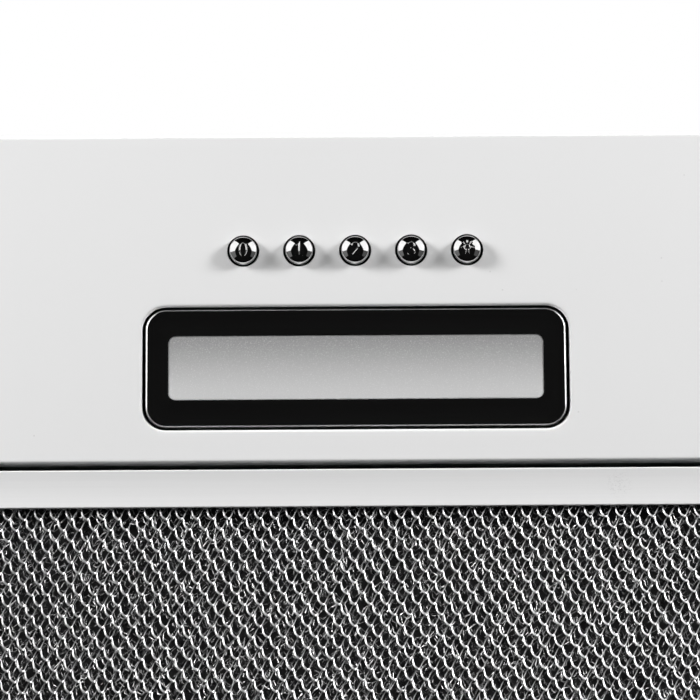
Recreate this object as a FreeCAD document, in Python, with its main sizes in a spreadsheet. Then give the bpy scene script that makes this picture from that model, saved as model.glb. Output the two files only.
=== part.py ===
"""Range hood insert with a push-button strip, a lamp, a grease filter and a blower.

Millimetres. X runs left to right, -Y is the front edge, +Z is up into the cabinet.
The origin is the middle of the four flange screws, on the plane that meets the cabinet.
"""
import FreeCAD
import Part
import Sketcher
import math
import os

V = FreeCAD.Vector
X_AXIS = V(1, 0, 0)
Y_AXIS = V(0, 1, 0)
Z_AXIS = V(0, 0, 1)

SIZES = {
    # pressed base panel: flange, control strip and filter opening in one sheet
    "flange_corner": 4,
    "rim_height": 2.8,
    "sheet": 0.8,
    "bend_bevel": 1.1,
    "strip_depth": 113.6,
    "opening_width": 456,
    "opening_depth": 151,
    "opening_corner": 7,
    "opening_return": 8,
    "rear_border": 27.4,
    "side_border": 32,
    # screws into the cabinet, each through a pressed pad
    "cabinet_screw_inset": 8,
    "cabinet_screw_pitch": 200,
    "cabinet_screw_hole": 2.25,
    "pad_side": 13,
    "pad_taper": 40,
    # push buttons
    "button_setback": 40.4,
    "button_pitch": 19,
    "button_radius": 4.95,
    "button_gap": 0.55,
    "button_reach": 3.5,
    "button_inside": 4,
    "button_bevel": 1.2,
    "button_travel": 2.5,
    "button_stem": 4,
    "stem_length": 12,
    "stem_gap": 0.15,
    "collar_height": 2.2,
    "bezel_hole_bevel": 0.9,
    # switch block behind the buttons
    "switch_length": 98,
    "switch_depth": 16,
    "switch_height": 17,
    "switch_air": 1.3,
    "bracket_sheet": 1.2,
    "bracket_foot": 12,
    "bracket_gap": 0.3,
    "well_wall": 2,
    # lamp
    "lamp_setback": 81,
    "bezel_length": 142,
    "bezel_depth": 40.4,
    "bezel_corner": 7,
    "bezel_gap": 0.8,
    "bezel_height": 6,
    "bezel_bevel": 0.6,
    "bezel_wall": 1.4,
    "bezel_end": 7.8,
    "bezel_side": 9.2,
    "window_corner": 2.4,
    "diffuser_thickness": 2,
    "diffuser_lap": 2.5,
    "tray_height": 13,
    "tray_gap": 0.3,
    "tray_window_gap": 0.5,
    "board_thickness": 1.2,
    "board_depth": 16,
    "board_end": 2,
    "led_count": 12,
    "led_size": 3,
    "led_height": 0.8,
    "led_end": 6,
    "arm_steel": 0.6,
    "arm_width": 14,
    "arm_lap": 14,
    "arm_reach": 6,
    "arm_bend": 3,
    "arm_toe": 4,
    "arm_lift": 2,
    # casing and its cover
    "casing_side": 17,
    "casing_inset": 16,
    "casing_margin": 11.4,
    "casing_corner": 3,
    "casing_top": 196,
    "casing_flange": 6,
    "cover_flange": 12,
    "cover_lip": 10,
    "cover_gap": 0.2,
    "screw_radius": 1.8,
    "screw_head": 3.9,
    "screw_head_height": 2.2,
    "screw_gap": 0.15,
    # duct collar with two flaps
    "collar_shift": 36,
    "collar_radius": 74.5,
    "collar_wall": 2,
    "collar_length": 36,
    "collar_base": 166,
    "collar_base_corner": 12,
    "collar_base_height": 2.4,
    "collar_screw_pitch": 146,
    "collar_screw_length": 10,
    "seat_width": 4,
    "seat_height": 5,
    "flap_lift": 0.3,
    "flap_thickness": 1.4,
    "flap_gap": 1,
    "flap_split": 4.4,
    "pin_radius": 2,
    "pin_gap": 0.05,
    "pin_inset": 0.2,
    "knuckle_radius": 3.4,
    "knuckle_length": 56,
    "knuckle_gap": 0.8,
    # blower: scroll, wheel and motor on one cross axis
    "blower_shift": -12,
    "blower_z": 107,
    "scroll_width": 112,
    "scroll_start": 78,
    "scroll_step": 9,
    "scroll_tongue": 6,
    "scroll_wall": 1,
    "scroll_flange": 162,
    "inlet_radius": 57,
    "wheel_radius": 68,
    "wheel_length": 98,
    "wheel_ring": 4,
    "wheel_ring_width": 8,
    "blade_count": 22,
    "blade_flats": 2,
    "blade_root": 57.5,
    "blade_tip": 67,
    "blade_sweep": 9,
    "blade_sag": 1.7,
    "blade_thickness": 0.9,
    "web_thickness": 1.6,
    "web_shift": 12,
    "boss_radius": 11,
    "boss_length": 20,
    "shaft_radius": 4,
    "shaft_gap": 0.05,
    "shaft_inset": 1,
    "shaft_end": 2,
    "nut_flats": 13,
    "nut_height": 6,
    "motor_radius": 38,
    "motor_clearance": 5,
    "spider_disc": 34,
    "spider_thickness": 2.5,
    "spider_arm": 12,
    "spider_reach": 4,
    "foot_side": 10,
    "foot_height": 9,
    # electrics
    "terminal_length": 84,
    "terminal_depth": 46,
    "terminal_height": 36,
    "terminal_wall": 2,
    "terminal_end": 55,
    "terminal_z": 136,
    "gland_inset": 30,
    "gland_radius": 9.8,
    "gland_bore": 4.2,
    "gland_cap": 14,
    "gland_shoulder": 4,
    "gland_shank": 6,
    "capacitor_radius": 15,
    "capacitor_length": 58,
    "capacitor_gap": 36,
    "capacitor_drop": 10,
    "clip_sheet": 0.8,
    "clip_band": 12,
    "driver_length": 110,
    "driver_depth": 24,
    "driver_height": 26,
    "driver_end": 95,
    "driver_z": 60,
    "cover_rear_height": 13,
    "cover_front_height": 36,
    "cover_slope": 45.6,
    "cover_air": 0.3,
    "cover_slack": 0.4,
    # grease filter
    "filter_gap_front": 2.1,
    "filter_gap_side": 1.2,
    "filter_gap_rear": 1.2,
    "filter_recess": 0.5,
    "filter_height": 8.5,
    "filter_bar": 12.9,
    "filter_sheet": 0.8,
    "filter_corner": 6,
    "mesh_thickness": 1,
    "mesh_columns": 18,
    "mesh_rows": 2,
    "mesh_strand": 2.6,
    "back_columns": 10,
    "back_rows": 1,
    "mesh_slack": 0.4,
    "tab_span": 300,
    "tab_width": 14,
    "tab_reach": 5.9,
    "tab_thickness": 1,
    "tab_seat": 0.3,
    "tab_leg_gap": 1,
    "notch_slack": 2,
    # spring catches and pull rings
    "catch_span": 330,
    "catch_width": 12,
    "catch_steel": 0.4,
    "catch_nose": 0.5,
    "catch_lead": 0.4,
    "catch_tail": 0.7,
    "catch_tail_drop": 0.8,
    "slot_height": 3.2,
    "slot_slack": 1,
    "ring_span": 330,
    "ring_wire": 1.2,
    "ring_width": 26,
    "ring_drop": 18,
    "ring_corner": 5,
    "saddle_length": 12,
    "saddle_width": 11,
    "saddle_plate": 0.8,
    "saddle_radius": 2.3,
    "saddle_air": 0.3,
    # springs that grip the cabinet cut-out
    "clip_pitch": 150,
    "clip_width": 22,
    "clip_steel": 0.8,
    "clip_bulge": 6,
    "clip_low": 6,
    "clip_high": 52,
    "clip_weld": 12,
    "clip_foot": 0.6,
}


class Size:
    """A length that carries its value and the formula that a property is bound to."""

    def __init__(self, text, value):
        self.text = text
        self.value = float(value)

    def join(self, sign, other, value):
        return Size("(%s %s %s)" % (self.text, sign, other.text), value)

    def __add__(self, other):
        other = as_size(other)
        return self.join("+", other, self.value + other.value)

    def __radd__(self, other):
        return as_size(other) + self

    def __sub__(self, other):
        other = as_size(other)
        return self.join("-", other, self.value - other.value)

    def __rsub__(self, other):
        return as_size(other) - self

    def __mul__(self, other):
        other = as_size(other)
        return self.join("*", other, self.value * other.value)

    def __rmul__(self, other):
        return as_size(other) * self

    def __truediv__(self, other):
        other = as_size(other)
        return self.join("/", other, self.value / other.value)

    def __neg__(self):
        return Size("(0 - %s)" % self.text, -self.value)

    def __float__(self):
        return self.value


def as_size(thing):
    if isinstance(thing, Size):
        return thing
    return Size(repr(float(thing)), thing)


class Sheet:
    """The driving dimensions: one cell for each, read back as an attribute."""

    def __init__(self, doc, sizes):
        self.cells = doc.addObject("Spreadsheet::Sheet", "Sizes")
        for row, (name, number) in enumerate(sizes.items(), start=1):
            self.cells.set("A%d" % row, name)
            self.cells.set("B%d" % row, str(number))
            self.cells.setAlias("B%d" % row, name)
        doc.recompute()
        for name in sizes:
            setattr(self, name, Size("Sizes." + name, self.cells.get(name)))


doc = FreeCAD.newDocument("HoodInsert")
d = Sheet(doc, SIZES)
nodes = []

# Levels and places that several pieces share.
face = -d.rim_height
floor = face + d.sheet
flange_width = d.opening_width + 2 * d.side_border
flange_depth = d.strip_depth + d.opening_depth + d.rear_border
front_edge = -flange_depth / 2
opening_front = front_edge + d.strip_depth
opening_rear = opening_front + d.opening_depth
opening_middle = (opening_front + opening_rear) / 2
button_y = front_edge + d.button_setback
lamp_y = front_edge + d.lamp_setback
shoulder = face + d.button_inside
return_top = face + d.opening_return
casing_width = d.opening_width + 2 * d.casing_side
casing_front = front_edge + d.casing_inset
casing_rear = opening_rear + d.casing_margin
casing_depth = casing_rear - casing_front
casing_middle = (casing_front + casing_rear) / 2
wall_front = casing_front + d.sheet
cover_top = d.casing_top + d.sheet
collar_y = casing_middle + d.collar_shift
blower_y = casing_middle + d.blower_shift
terminal_x = casing_width / 2 - d.terminal_end
gland_y = casing_front + d.gland_inset
window_length = d.bezel_length - 2 * d.bezel_end
window_depth = d.bezel_depth - 2 * d.bezel_side
# a box that picks out or cuts through a form reaches this far past it
beyond = 1


def origin_plane(body, role):
    return next(part for part in body.Origin.OriginFeatures if part.Role == role)


def new_body(name):
    body = doc.addObject("PartDesign::Body", name)
    body.Label = name
    nodes.append(body)
    return body


def new_sketch(body, level, role="XY_Plane"):
    """An empty sketch, moved by a level along the normal of one of the body's planes."""
    sketch = body.newObject("Sketcher::SketchObject", body.Name + "_sketch")
    sketch.AttachmentSupport = [(origin_plane(body, role), "")]
    sketch.MapMode = "FlatFace"
    sketch.setExpression("AttachmentOffset.Base.z", as_size(level).text)
    return sketch


def hold(sketch, kind, *places):
    """Adds a constraint; a Size at the end binds it to the sheet."""
    if isinstance(places[-1], Size):
        index = sketch.addConstraint(Sketcher.Constraint(kind, *places[:-1], places[-1].value))
        sketch.setExpression("Constraints[%d]" % index, places[-1].text)
        return
    sketch.addConstraint(Sketcher.Constraint(kind, *places))


def draw_circle(sketch, x, y, radius):
    x, y, radius = as_size(x), as_size(y), as_size(radius)
    circle = sketch.addGeometry(Part.Circle(V(x.value, y.value, 0), Z_AXIS, radius.value), False)
    hold(sketch, "Radius", circle, radius)
    hold(sketch, "DistanceX", -1, 1, circle, 3, x)
    hold(sketch, "DistanceY", -1, 1, circle, 3, y)


def draw_polygon(sketch, points):
    """A closed outline with every corner placed from the sketch's origin."""
    points = [(as_size(x), as_size(y)) for x, y in points]
    first = None
    for (x0, y0), (x1, y1) in zip(points, points[1:] + points[:1]):
        line = sketch.addGeometry(Part.LineSegment(V(x0.value, y0.value, 0), V(x1.value, y1.value, 0)), False)
        hold(sketch, "DistanceX", -1, 1, line, 1, x0)
        hold(sketch, "DistanceY", -1, 1, line, 1, y0)
        if first is None:
            first = line
        else:
            hold(sketch, "Coincident", line - 1, 2, line, 1)
    hold(sketch, "Coincident", line, 2, first, 1)


def draw_square(sketch, x, y, side):
    half = side / 2
    draw_polygon(sketch, [(x - half, y - half), (x + half, y - half),
                          (x + half, y + half), (x - half, y + half)])


def draw_rounded(sketch, x, y, width, depth, radius):
    """A rectangle about (x, y) with four equal round corners."""
    x, y, width, depth, radius = [as_size(s) for s in (x, y, width, depth, radius)]
    left, right = x - width / 2, x + width / 2
    low, high = y - depth / 2, y + depth / 2
    corners = [(right, low, -1, 1, -90), (right, high, -1, -1, 0),
               (left, high, 1, -1, 90), (left, low, 1, 1, 180)]
    arcs = []
    for corner_x, corner_y, inward_x, inward_y, start in corners:
        centre_x = corner_x + inward_x * radius
        centre_y = corner_y + inward_y * radius
        circle = Part.Circle(V(centre_x.value, centre_y.value, 0), Z_AXIS, radius.value)
        arc = Part.ArcOfCircle(circle, math.radians(start), math.radians(start + 90))
        arcs.append(sketch.addGeometry(arc, False))
        hold(sketch, "DistanceX", -1, 1, arcs[-1], 3, centre_x)
        hold(sketch, "DistanceY", -1, 1, arcs[-1], 3, centre_y)
    hold(sketch, "Radius", arcs[0], radius)
    for arc, following in zip(arcs, arcs[1:] + arcs[:1]):
        ends = sketch.getPoint(arc, 2), sketch.getPoint(following, 1)
        line = sketch.addGeometry(Part.LineSegment(*ends), False)
        hold(sketch, "Tangent", arc, 2, line, 1)
        hold(sketch, "Tangent", line, 2, following, 1)


def pad(body, sketch, length, upward=True, middle=False, taper=None):
    feature = body.newObject("PartDesign::Pad", body.Name + "_pad")
    feature.Profile = sketch
    feature.setExpression("Length", as_size(length).text)
    feature.Reversed = not upward
    feature.Midplane = middle
    if taper is not None:
        feature.setExpression("TaperAngle", taper.text)
    doc.recompute()
    return feature


def pocket(body, sketch, length, upward=True, middle=False, taper=None):
    feature = body.newObject("PartDesign::Pocket", body.Name + "_pocket")
    feature.Profile = sketch
    feature.setExpression("Length", as_size(length).text)
    feature.Reversed = upward
    feature.Midplane = middle
    if taper is not None:
        feature.setExpression("TaperAngle", taper.text)
    doc.recompute()
    return feature


def bevel_edges(body, size, chosen):
    """Bevels the edges whose every point passes the test."""
    doc.recompute()
    solid = body.Tip
    names = []
    for number, edge in enumerate(solid.Shape.Edges, start=1):
        if all(chosen(point) for point in edge.discretize(5)):
            names.append("Edge%d" % number)
    feature = body.newObject("PartDesign::Chamfer", body.Name + "_bevel")
    feature.Base = (solid, names)
    feature.setExpression("Size", as_size(size).text)
    doc.recompute()
    return feature


def at_level(level, middle, width, depth):
    """A test for points on one level in a rectangle about the middle line of the plan."""
    half_x, half_y = float(width) / 2 + beyond, float(depth) / 2 + beyond
    level, middle = float(level), float(middle)

    def chosen(point):
        return abs(point.x) < half_x and abs(point.y - middle) < half_y and abs(point.z - level) < 1e-4
    return chosen


def place(thing, x, y, z):
    for axis, size in zip("xyz", (x, y, z)):
        thing.setExpression("Placement.Base." + axis, as_size(size).text)


def block(name, x, y, z):
    """A box between two values on each axis."""
    thing = doc.addObject("Part::Box", name)
    for prop, (low, high) in zip(("Length", "Width", "Height"), (x, y, z)):
        thing.setExpression(prop, (as_size(high) - low).text)
    place(thing, x[0], y[0], z[0])
    return thing


def rod(name, radius, length, x, y, z, axis=Z_AXIS):
    """A cylinder from a point along an axis."""
    thing = doc.addObject("Part::Cylinder", name)
    thing.setExpression("Radius", as_size(radius).text)
    thing.setExpression("Height", as_size(length).text)
    thing.Placement = FreeCAD.Placement(V(), FreeCAD.Rotation(Z_AXIS, axis))
    place(thing, x, y, z)
    return thing


def hexagon(name, radius, length, x, y, z, axis=Z_AXIS):
    """A six-sided prism from a point along an axis."""
    thing = doc.addObject("Part::Prism", name)
    thing.Polygon = 6
    thing.setExpression("Circumradius", as_size(radius).text)
    thing.setExpression("Height", as_size(length).text)
    thing.Placement = FreeCAD.Placement(V(), FreeCAD.Rotation(Z_AXIS, axis))
    place(thing, x, y, z)
    return thing


def join(name, pieces):
    thing = doc.addObject("Part::MultiFuse", name)
    thing.Shapes = pieces
    thing.Refine = True
    return thing


def cut(name, base, tools):
    thing = doc.addObject("Part::Cut", name)
    thing.Base = base
    thing.Tool = tools[0] if len(tools) == 1 else join(name + "_tools", tools)
    return thing


def common(name, first, second):
    thing = doc.addObject("Part::Common", name)
    thing.Base = first
    thing.Tool = second
    return thing


def group(name, pieces):
    thing = doc.addObject("Part::Compound", name)
    thing.Links = pieces
    return node(thing, name)


def node(thing, name):
    thing.Label = name
    nodes.append(thing)
    return thing


def formed(name, shape):
    """A piece whose outline no feature above makes; its sizes still come from the sheet."""
    thing = doc.addObject("Part::Feature", name)
    thing.Shape = shape
    return node(thing, name)


def mirrored_pair(x, ys):
    return [(sign * x, y) for y in ys for sign in (-1, 1)]


def screw(name, length, x, y, z, axis):
    """A hexagon head that sits on z and a plain shank along the axis."""
    head_at = [as_size(size) - d.screw_head_height * part for size, part in zip((x, y, z), axis)]
    head = hexagon(name + "_head", d.screw_head, d.screw_head_height, *head_at, axis)
    shank = rod(name + "_shank", d.screw_radius, length, x, y, z, axis)
    return join(name, [head, shank])


def tube_between(low, high, outer, inner, at):
    """A plain ring along X, as a shape."""
    ring = Part.makeCylinder(outer, high - low, at + V(low, 0, 0), X_AXIS)
    return ring.cut(Part.makeCylinder(inner, high - low + 2 * beyond, at + V(low - beyond, 0, 0), X_AXIS))


# ---------------------------------------------------------------- base panel
cabinet_screw_x = flange_width / 2 - d.cabinet_screw_inset
cabinet_holes = mirrored_pair(cabinet_screw_x, (-d.cabinet_screw_pitch / 2, d.cabinet_screw_pitch / 2))
button_xs = [(index - 2) * d.button_pitch for index in range(5)]
button_hole = d.button_radius + d.button_gap
lamp_hole = (d.bezel_length + 2 * d.bezel_gap, d.bezel_depth + 2 * d.bezel_gap, d.bezel_corner + d.bezel_gap)


def base_panel():
    body = new_body("base_panel")
    outline = new_sketch(body, face)
    draw_rounded(outline, 0, 0, flange_width, flange_depth, d.flange_corner)
    pad(body, outline, d.rim_height)
    bevel_edges(body, d.bend_bevel, at_level(face, 0, flange_width, flange_depth))
    hollow = new_sketch(body, 0)
    inset = 2 * d.sheet
    draw_rounded(hollow, 0, 0, flange_width - inset, flange_depth - inset, d.flange_corner - d.sheet)
    pocket(body, hollow, d.rim_height - d.sheet, upward=False)
    # the sheet turns up round the filter opening and the lamp
    walls = new_sketch(body, floor)
    draw_rounded(walls, 0, opening_middle, d.opening_width + inset, d.opening_depth + inset,
                 d.opening_corner + d.sheet)
    pad(body, walls, d.opening_return - d.sheet)
    collars = new_sketch(body, floor)
    draw_rounded(collars, 0, lamp_y, lamp_hole[0] + inset, lamp_hole[1] + inset, lamp_hole[2] + d.sheet)
    pad(body, collars, d.collar_height)
    holes = new_sketch(body, face)
    draw_rounded(holes, 0, opening_middle, d.opening_width, d.opening_depth, d.opening_corner)
    draw_rounded(holes, 0, lamp_y, *lamp_hole)
    for x in button_xs:
        draw_circle(holes, x, button_y, button_hole)
    pocket(body, holes, d.opening_return + d.sheet)
    bevel_edges(body, d.bend_bevel, at_level(face, opening_middle, d.opening_width, d.opening_depth))
    bevel_edges(body, d.bezel_hole_bevel, at_level(face, lamp_y, lamp_hole[0], lamp_hole[1]))
    # pressed pads lift the screw heads clear of the face
    bosses = new_sketch(body, floor)
    dents = new_sketch(body, face)
    screws = new_sketch(body, face)
    for x, y in cabinet_holes:
        draw_square(bosses, x, y, d.pad_side)
        draw_square(dents, x, y, d.pad_side - d.sheet)
        draw_circle(screws, x, y, d.cabinet_screw_hole)
    pad(body, bosses, d.rim_height - d.sheet, taper=-d.pad_taper)
    pocket(body, dents, d.rim_height - d.sheet, taper=-d.pad_taper)
    pocket(body, screws, 2 * d.rim_height)
    # the filter's rear tabs pass through two notches in the rear return
    notches = new_sketch(body, floor)
    for x, _ in mirrored_pair(d.tab_span / 2, (0,)):
        draw_rounded(notches, x, opening_rear + d.sheet / 2, d.tab_width + 2 * d.notch_slack,
                     4 * d.sheet, d.sheet)
    pocket(body, notches, d.opening_return)


base_panel()


# ---------------------------------------------------------------- casing, cover and cabinet springs
collar_reach = d.collar_screw_pitch / 2
collar_screws = [(-collar_reach, collar_y - collar_reach), (collar_reach, collar_y + collar_reach)]
screw_hole = d.screw_radius + d.screw_gap


def casing_shell():
    body = new_body("casing_shell")

    def ring(level, height, width):
        sketch = new_sketch(body, level)
        draw_rounded(sketch, 0, casing_middle, casing_width, casing_depth, d.casing_corner)
        draw_rounded(sketch, 0, casing_middle, casing_width - 2 * width, casing_depth - 2 * width,
                     d.casing_corner - d.sheet)
        pad(body, sketch, height)

    ring(floor, d.casing_top - floor, d.sheet)
    ring(floor, d.sheet, d.casing_flange)
    ring(d.casing_top - d.sheet, d.sheet, d.cover_flange)


def top_cover():
    body = new_body("top_cover")
    outer = 2 * (d.cover_gap + d.sheet)
    inner = 2 * d.cover_gap
    outline = new_sketch(body, cover_top)
    draw_rounded(outline, 0, casing_middle, casing_width + outer, casing_depth + outer,
                 d.casing_corner + d.cover_gap + d.sheet)
    pad(body, outline, d.cover_lip + d.sheet, upward=False)
    hollow = new_sketch(body, d.casing_top - d.cover_lip)
    draw_rounded(hollow, 0, casing_middle, casing_width + inner, casing_depth + inner,
                 d.casing_corner + d.cover_gap)
    pocket(body, hollow, d.cover_lip)
    holes = new_sketch(body, cover_top)
    for x, y in collar_screws:
        draw_circle(holes, x, y, screw_hole)
    draw_circle(holes, 0, collar_y, collar_bore)
    draw_circle(holes, terminal_x, gland_y, d.gland_radius + d.screw_gap)
    pocket(body, holes, 2 * d.sheet, upward=False)


def cabinet_clip(x_wall, outward, y):
    """A bowed spring strip on the side of the casing."""
    low, high = float(d.clip_low), float(d.clip_high)
    bulge, steel = float(d.clip_bulge), float(d.clip_steel)
    width = float(d.clip_width)
    line = [(0, high), (0, high - float(d.clip_weld)), (bulge, (low + high) / 2), (float(d.clip_foot), low)]

    def side(offset):
        return [V(x_wall + outward * (out + offset), y - width / 2, level) for out, level in line]

    outline = Part.makePolygon(side(0) + side(steel)[::-1] + side(0)[:1])
    return Part.Face(outline).extrude(V(0, width, 0))


def cabinet_clips():
    half = float(casing_width) / 2
    pitch = float(d.clip_pitch) / 2
    middle = float(casing_middle)
    clips = [cabinet_clip(side * half, side, y) for side in (-1, 1) for y in (middle - pitch, middle + pitch)]
    formed("cabinet_clips", Part.makeCompound(clips))


def screw_set(name, length, spots, z, axis):
    group(name, [screw("%s_%d" % (name, index), length, x, y, z, axis) for index, (x, y) in enumerate(spots)])


# ---------------------------------------------------------------- duct collar and flaps
collar_bore = d.collar_radius - d.collar_wall
collar_floor = cover_top
seat_top = collar_floor + d.seat_height
flap_axis = seat_top + d.flap_lift + d.knuckle_radius
flap_low = seat_top + d.flap_lift


def duct_collar():
    body = new_body("duct_collar")
    base = new_sketch(body, collar_floor)
    draw_rounded(base, 0, collar_y, d.collar_base, d.collar_base, d.collar_base_corner)
    pad(body, base, d.collar_base_height)
    spigot = new_sketch(body, collar_floor)
    draw_circle(spigot, 0, collar_y, d.collar_radius)
    pad(body, spigot, d.collar_length)
    bore = new_sketch(body, seat_top)
    draw_circle(bore, 0, collar_y, collar_bore)
    pocket(body, bore, d.collar_length)
    throat = new_sketch(body, collar_floor)
    draw_circle(throat, 0, collar_y, collar_bore - d.seat_width)
    pocket(body, throat, d.collar_length)
    holes = new_sketch(body, collar_floor)
    for x, y in collar_screws:
        draw_circle(holes, x, y, screw_hole)
    pocket(body, holes, d.collar_base_height)
    # the pin's ends lie in square eyes
    eyes = new_sketch(body, 0, "XZ_Plane")
    draw_square(eyes, 0, flap_axis, 2 * (d.pin_radius + d.pin_gap))
    pocket(body, eyes, d.collar_base + 2 * collar_y, middle=True)


def flap_pin():
    reach = d.collar_radius - d.pin_inset
    pin = rod("flap_pin", d.pin_radius, 2 * reach, 0, collar_y - reach, flap_axis, Y_AXIS)
    node(pin, "flap_pin")


def flap(name, side):
    """Half a disc with a long knuckle round the pin, beside the other flap's."""
    radius = collar_bore - d.flap_gap
    disc = rod(name + "_disc", radius, d.flap_thickness, 0, collar_y, flap_low)
    far = side * (d.collar_radius + beyond)
    near = side * d.flap_split
    pair = (near, far) if side > 0 else (far, near)
    span = (collar_y - d.collar_radius, collar_y + d.collar_radius)
    level = (flap_low - beyond, flap_low + d.flap_thickness + beyond)
    half = common(name + "_half", disc, block(name + "_side", pair, span, level))
    # the left flap's knuckle takes the front of the pin, the right flap's the rear
    middle = collar_y + side * (d.knuckle_length + d.knuckle_gap) / 2
    low, high = middle - d.knuckle_length / 2, middle + d.knuckle_length / 2
    web = (as_size(0), near + side) if side > 0 else (near + side, as_size(0))
    parts = [half, rod(name + "_knuckle", d.knuckle_radius, d.knuckle_length, 0, low, flap_axis, Y_AXIS),
             block(name + "_web", web, (low, high), (flap_low, flap_low + d.flap_thickness))]
    bore = rod(name + "_bore", d.pin_radius + d.pin_gap, 2 * d.collar_radius, 0, collar_y - d.collar_radius,
               flap_axis, Y_AXIS)
    node(cut(name, join(name + "_body", parts), [bore]), name)


casing_shell()
top_cover()
cabinet_clips()
duct_collar()
flap_pin()
flap("flap_left", -1)
flap("flap_right", 1)
screw_set("collar_screws", d.collar_screw_length, collar_screws, collar_floor + d.collar_base_height, -Z_AXIS)


# ---------------------------------------------------------------- blower
hub = V(0, float(blower_y), float(d.blower_z))
half_width = float(d.scroll_width) / 2


def scroll_line(offset):
    """The scroll's wall: a straight throat, a round tongue and three growing quarter arcs."""
    step, start, tongue = float(d.scroll_step), float(d.scroll_start), float(d.scroll_tongue)
    top = float(d.casing_top) - hub.z

    def point(u, v):
        return hub + V(0, u, v)

    def quarter(centre, radius, first, last):
        spots = []
        for angle in (first, (first + last) / 2, last):
            turn = math.radians(angle)
            spots.append(point(centre[0] + radius * math.cos(turn), centre[1] + radius * math.sin(turn)))
        return Part.Arc(*spots).toShape()

    low, high = -step / 2, step / 2
    first = quarter((low, start + low + tongue), tongue - offset, 0, -90)
    arcs = [quarter((low, low), start + offset, 90, 180)]
    arcs.append(quarter((high, low), start + step + offset, 180, 270))
    arcs.append(quarter((high, high), start + 2 * step + offset, 270, 360))
    throat_front = Part.LineSegment(point(low + tongue - offset, top), first.Vertexes[0].Point).toShape()
    mouth_end = point(high + start + 2 * step + offset, top)
    throat_back = Part.LineSegment(arcs[2].Vertexes[-1].Point, mouth_end).toShape()
    return [throat_front, first] + arcs + [throat_back]


def scroll_ends(line):
    return line[0].Vertexes[0].Point, line[-1].Vertexes[-1].Point


def scroll_wrap():
    inner, outer = scroll_line(0), scroll_line(float(d.scroll_wall))
    inner_ends, outer_ends = scroll_ends(inner), scroll_ends(outer)
    caps = [Part.LineSegment(a, b).toShape() for a, b in zip(inner_ends, outer_ends)]
    section = Part.Face(Part.Wire(Part.__sortEdges__(inner + outer + caps)))
    band = section.extrude(V(2 * half_width, 0, 0))
    band.translate(V(-half_width, 0, 0))
    # the flange under the cover carries the whole blower
    thick = 2 * float(d.scroll_wall)
    side = float(d.scroll_flange)
    top = float(d.casing_top)
    plate = Part.makeBox(side, side, thick, V(-side / 2, float(collar_y) - side / 2, top - thick))
    low, high = inner_ends[0].y, inner_ends[1].y
    under = top - 2 * thick
    mouth = Part.makeBox(2 * half_width, high - low, 3 * thick, V(-half_width, low, under))
    shape = band.fuse(plate.cut(mouth))
    for x, y in collar_screws:
        shape = shape.cut(Part.makeCylinder(float(screw_hole), 3 * thick, V(float(x), float(y), under)))
    formed("scroll_wrap", shape.removeSplitter())


def scroll_side(name, side):
    """A flat cheek with a round inlet, set against the edge of the wrap."""
    wall = float(d.scroll_wall)
    line = scroll_line(wall)
    closing = Part.LineSegment(*scroll_ends(line)).toShape()
    outline = Part.Face(Part.Wire(Part.__sortEdges__(line + [closing])))
    cheek = outline.extrude(V(wall, 0, 0))
    cheek.translate(V(half_width, 0, 0))
    # the cheek ends under the flange of the wrap
    reach = float(d.scroll_flange)
    corner = V(half_width - wall, hub.y - reach, float(d.casing_top) - 2 * wall)
    above = Part.makeBox(4 * wall, 2 * reach, 4 * wall, corner)
    inlet = Part.makeCylinder(float(d.inlet_radius), 4 * wall, hub + V(half_width - wall, 0, 0), X_AXIS)
    cheek = cheek.cut(above).cut(inlet)
    if side < 0:
        cheek = cheek.mirror(V(), X_AXIS)
    formed(name, cheek)


def fan_wheel():
    """Forward-curved blades between two end rings, carried by a web near the middle."""
    half = float(d.wheel_length) / 2
    root, tip = float(d.blade_root), float(d.blade_tip)
    thick, sag = float(d.blade_thickness), float(d.blade_sag)
    sweep = math.radians(float(d.blade_sweep))
    shift = float(d.web_shift)
    start = V(0, root, 0)
    end = V(0, tip * math.cos(sweep), tip * math.sin(sweep))
    along = (end - start).normalize()
    across = V(0, -along.z, along.y)
    flats = int(float(d.blade_flats))
    line = []
    for step in range(flats + 1):
        share = step / flats
        line.append(start + (end - start) * share - across * (4 * sag * share * (1 - share)))
    back = [spot + across * thick for spot in line[::-1]]
    section = Part.Face(Part.makePolygon(line + back + line[:1]))
    blade = section.extrude(V(2 * half, 0, 0))
    blade.translate(V(-half, 0, 0))
    count = int(float(d.blade_count))
    parts = []
    for index in range(count):
        copy = blade.copy()
        copy.rotate(V(), X_AXIS, 360 * index / count)
        parts.append(copy)
    web = Part.makeCylinder(tip - thick, float(d.web_thickness), V(shift, 0, 0), X_AXIS)
    boss = Part.makeCylinder(float(d.boss_radius), float(d.boss_length), V(shift, 0, 0), X_AXIS)
    ring, width = float(d.wheel_ring), float(d.wheel_ring_width)
    rings = [tube_between(-half, -half + ring, float(d.wheel_radius), float(d.wheel_radius) - width, V()),
             tube_between(half - ring, half, float(d.wheel_radius), float(d.wheel_radius) - width, V())]
    shape = web.multiFuse([boss] + rings + parts).removeSplitter()
    shape = shape.cut(Part.makeCylinder(float(d.shaft_radius), 4 * half, V(-2 * half, 0, 0), X_AXIS))
    shape.translate(hub)
    formed("fan_wheel", shape)


motor_end = d.web_shift - d.motor_clearance
motor_start = -d.scroll_width / 2 - d.scroll_wall - d.foot_height
boss_end = d.web_shift + d.boss_length


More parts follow.
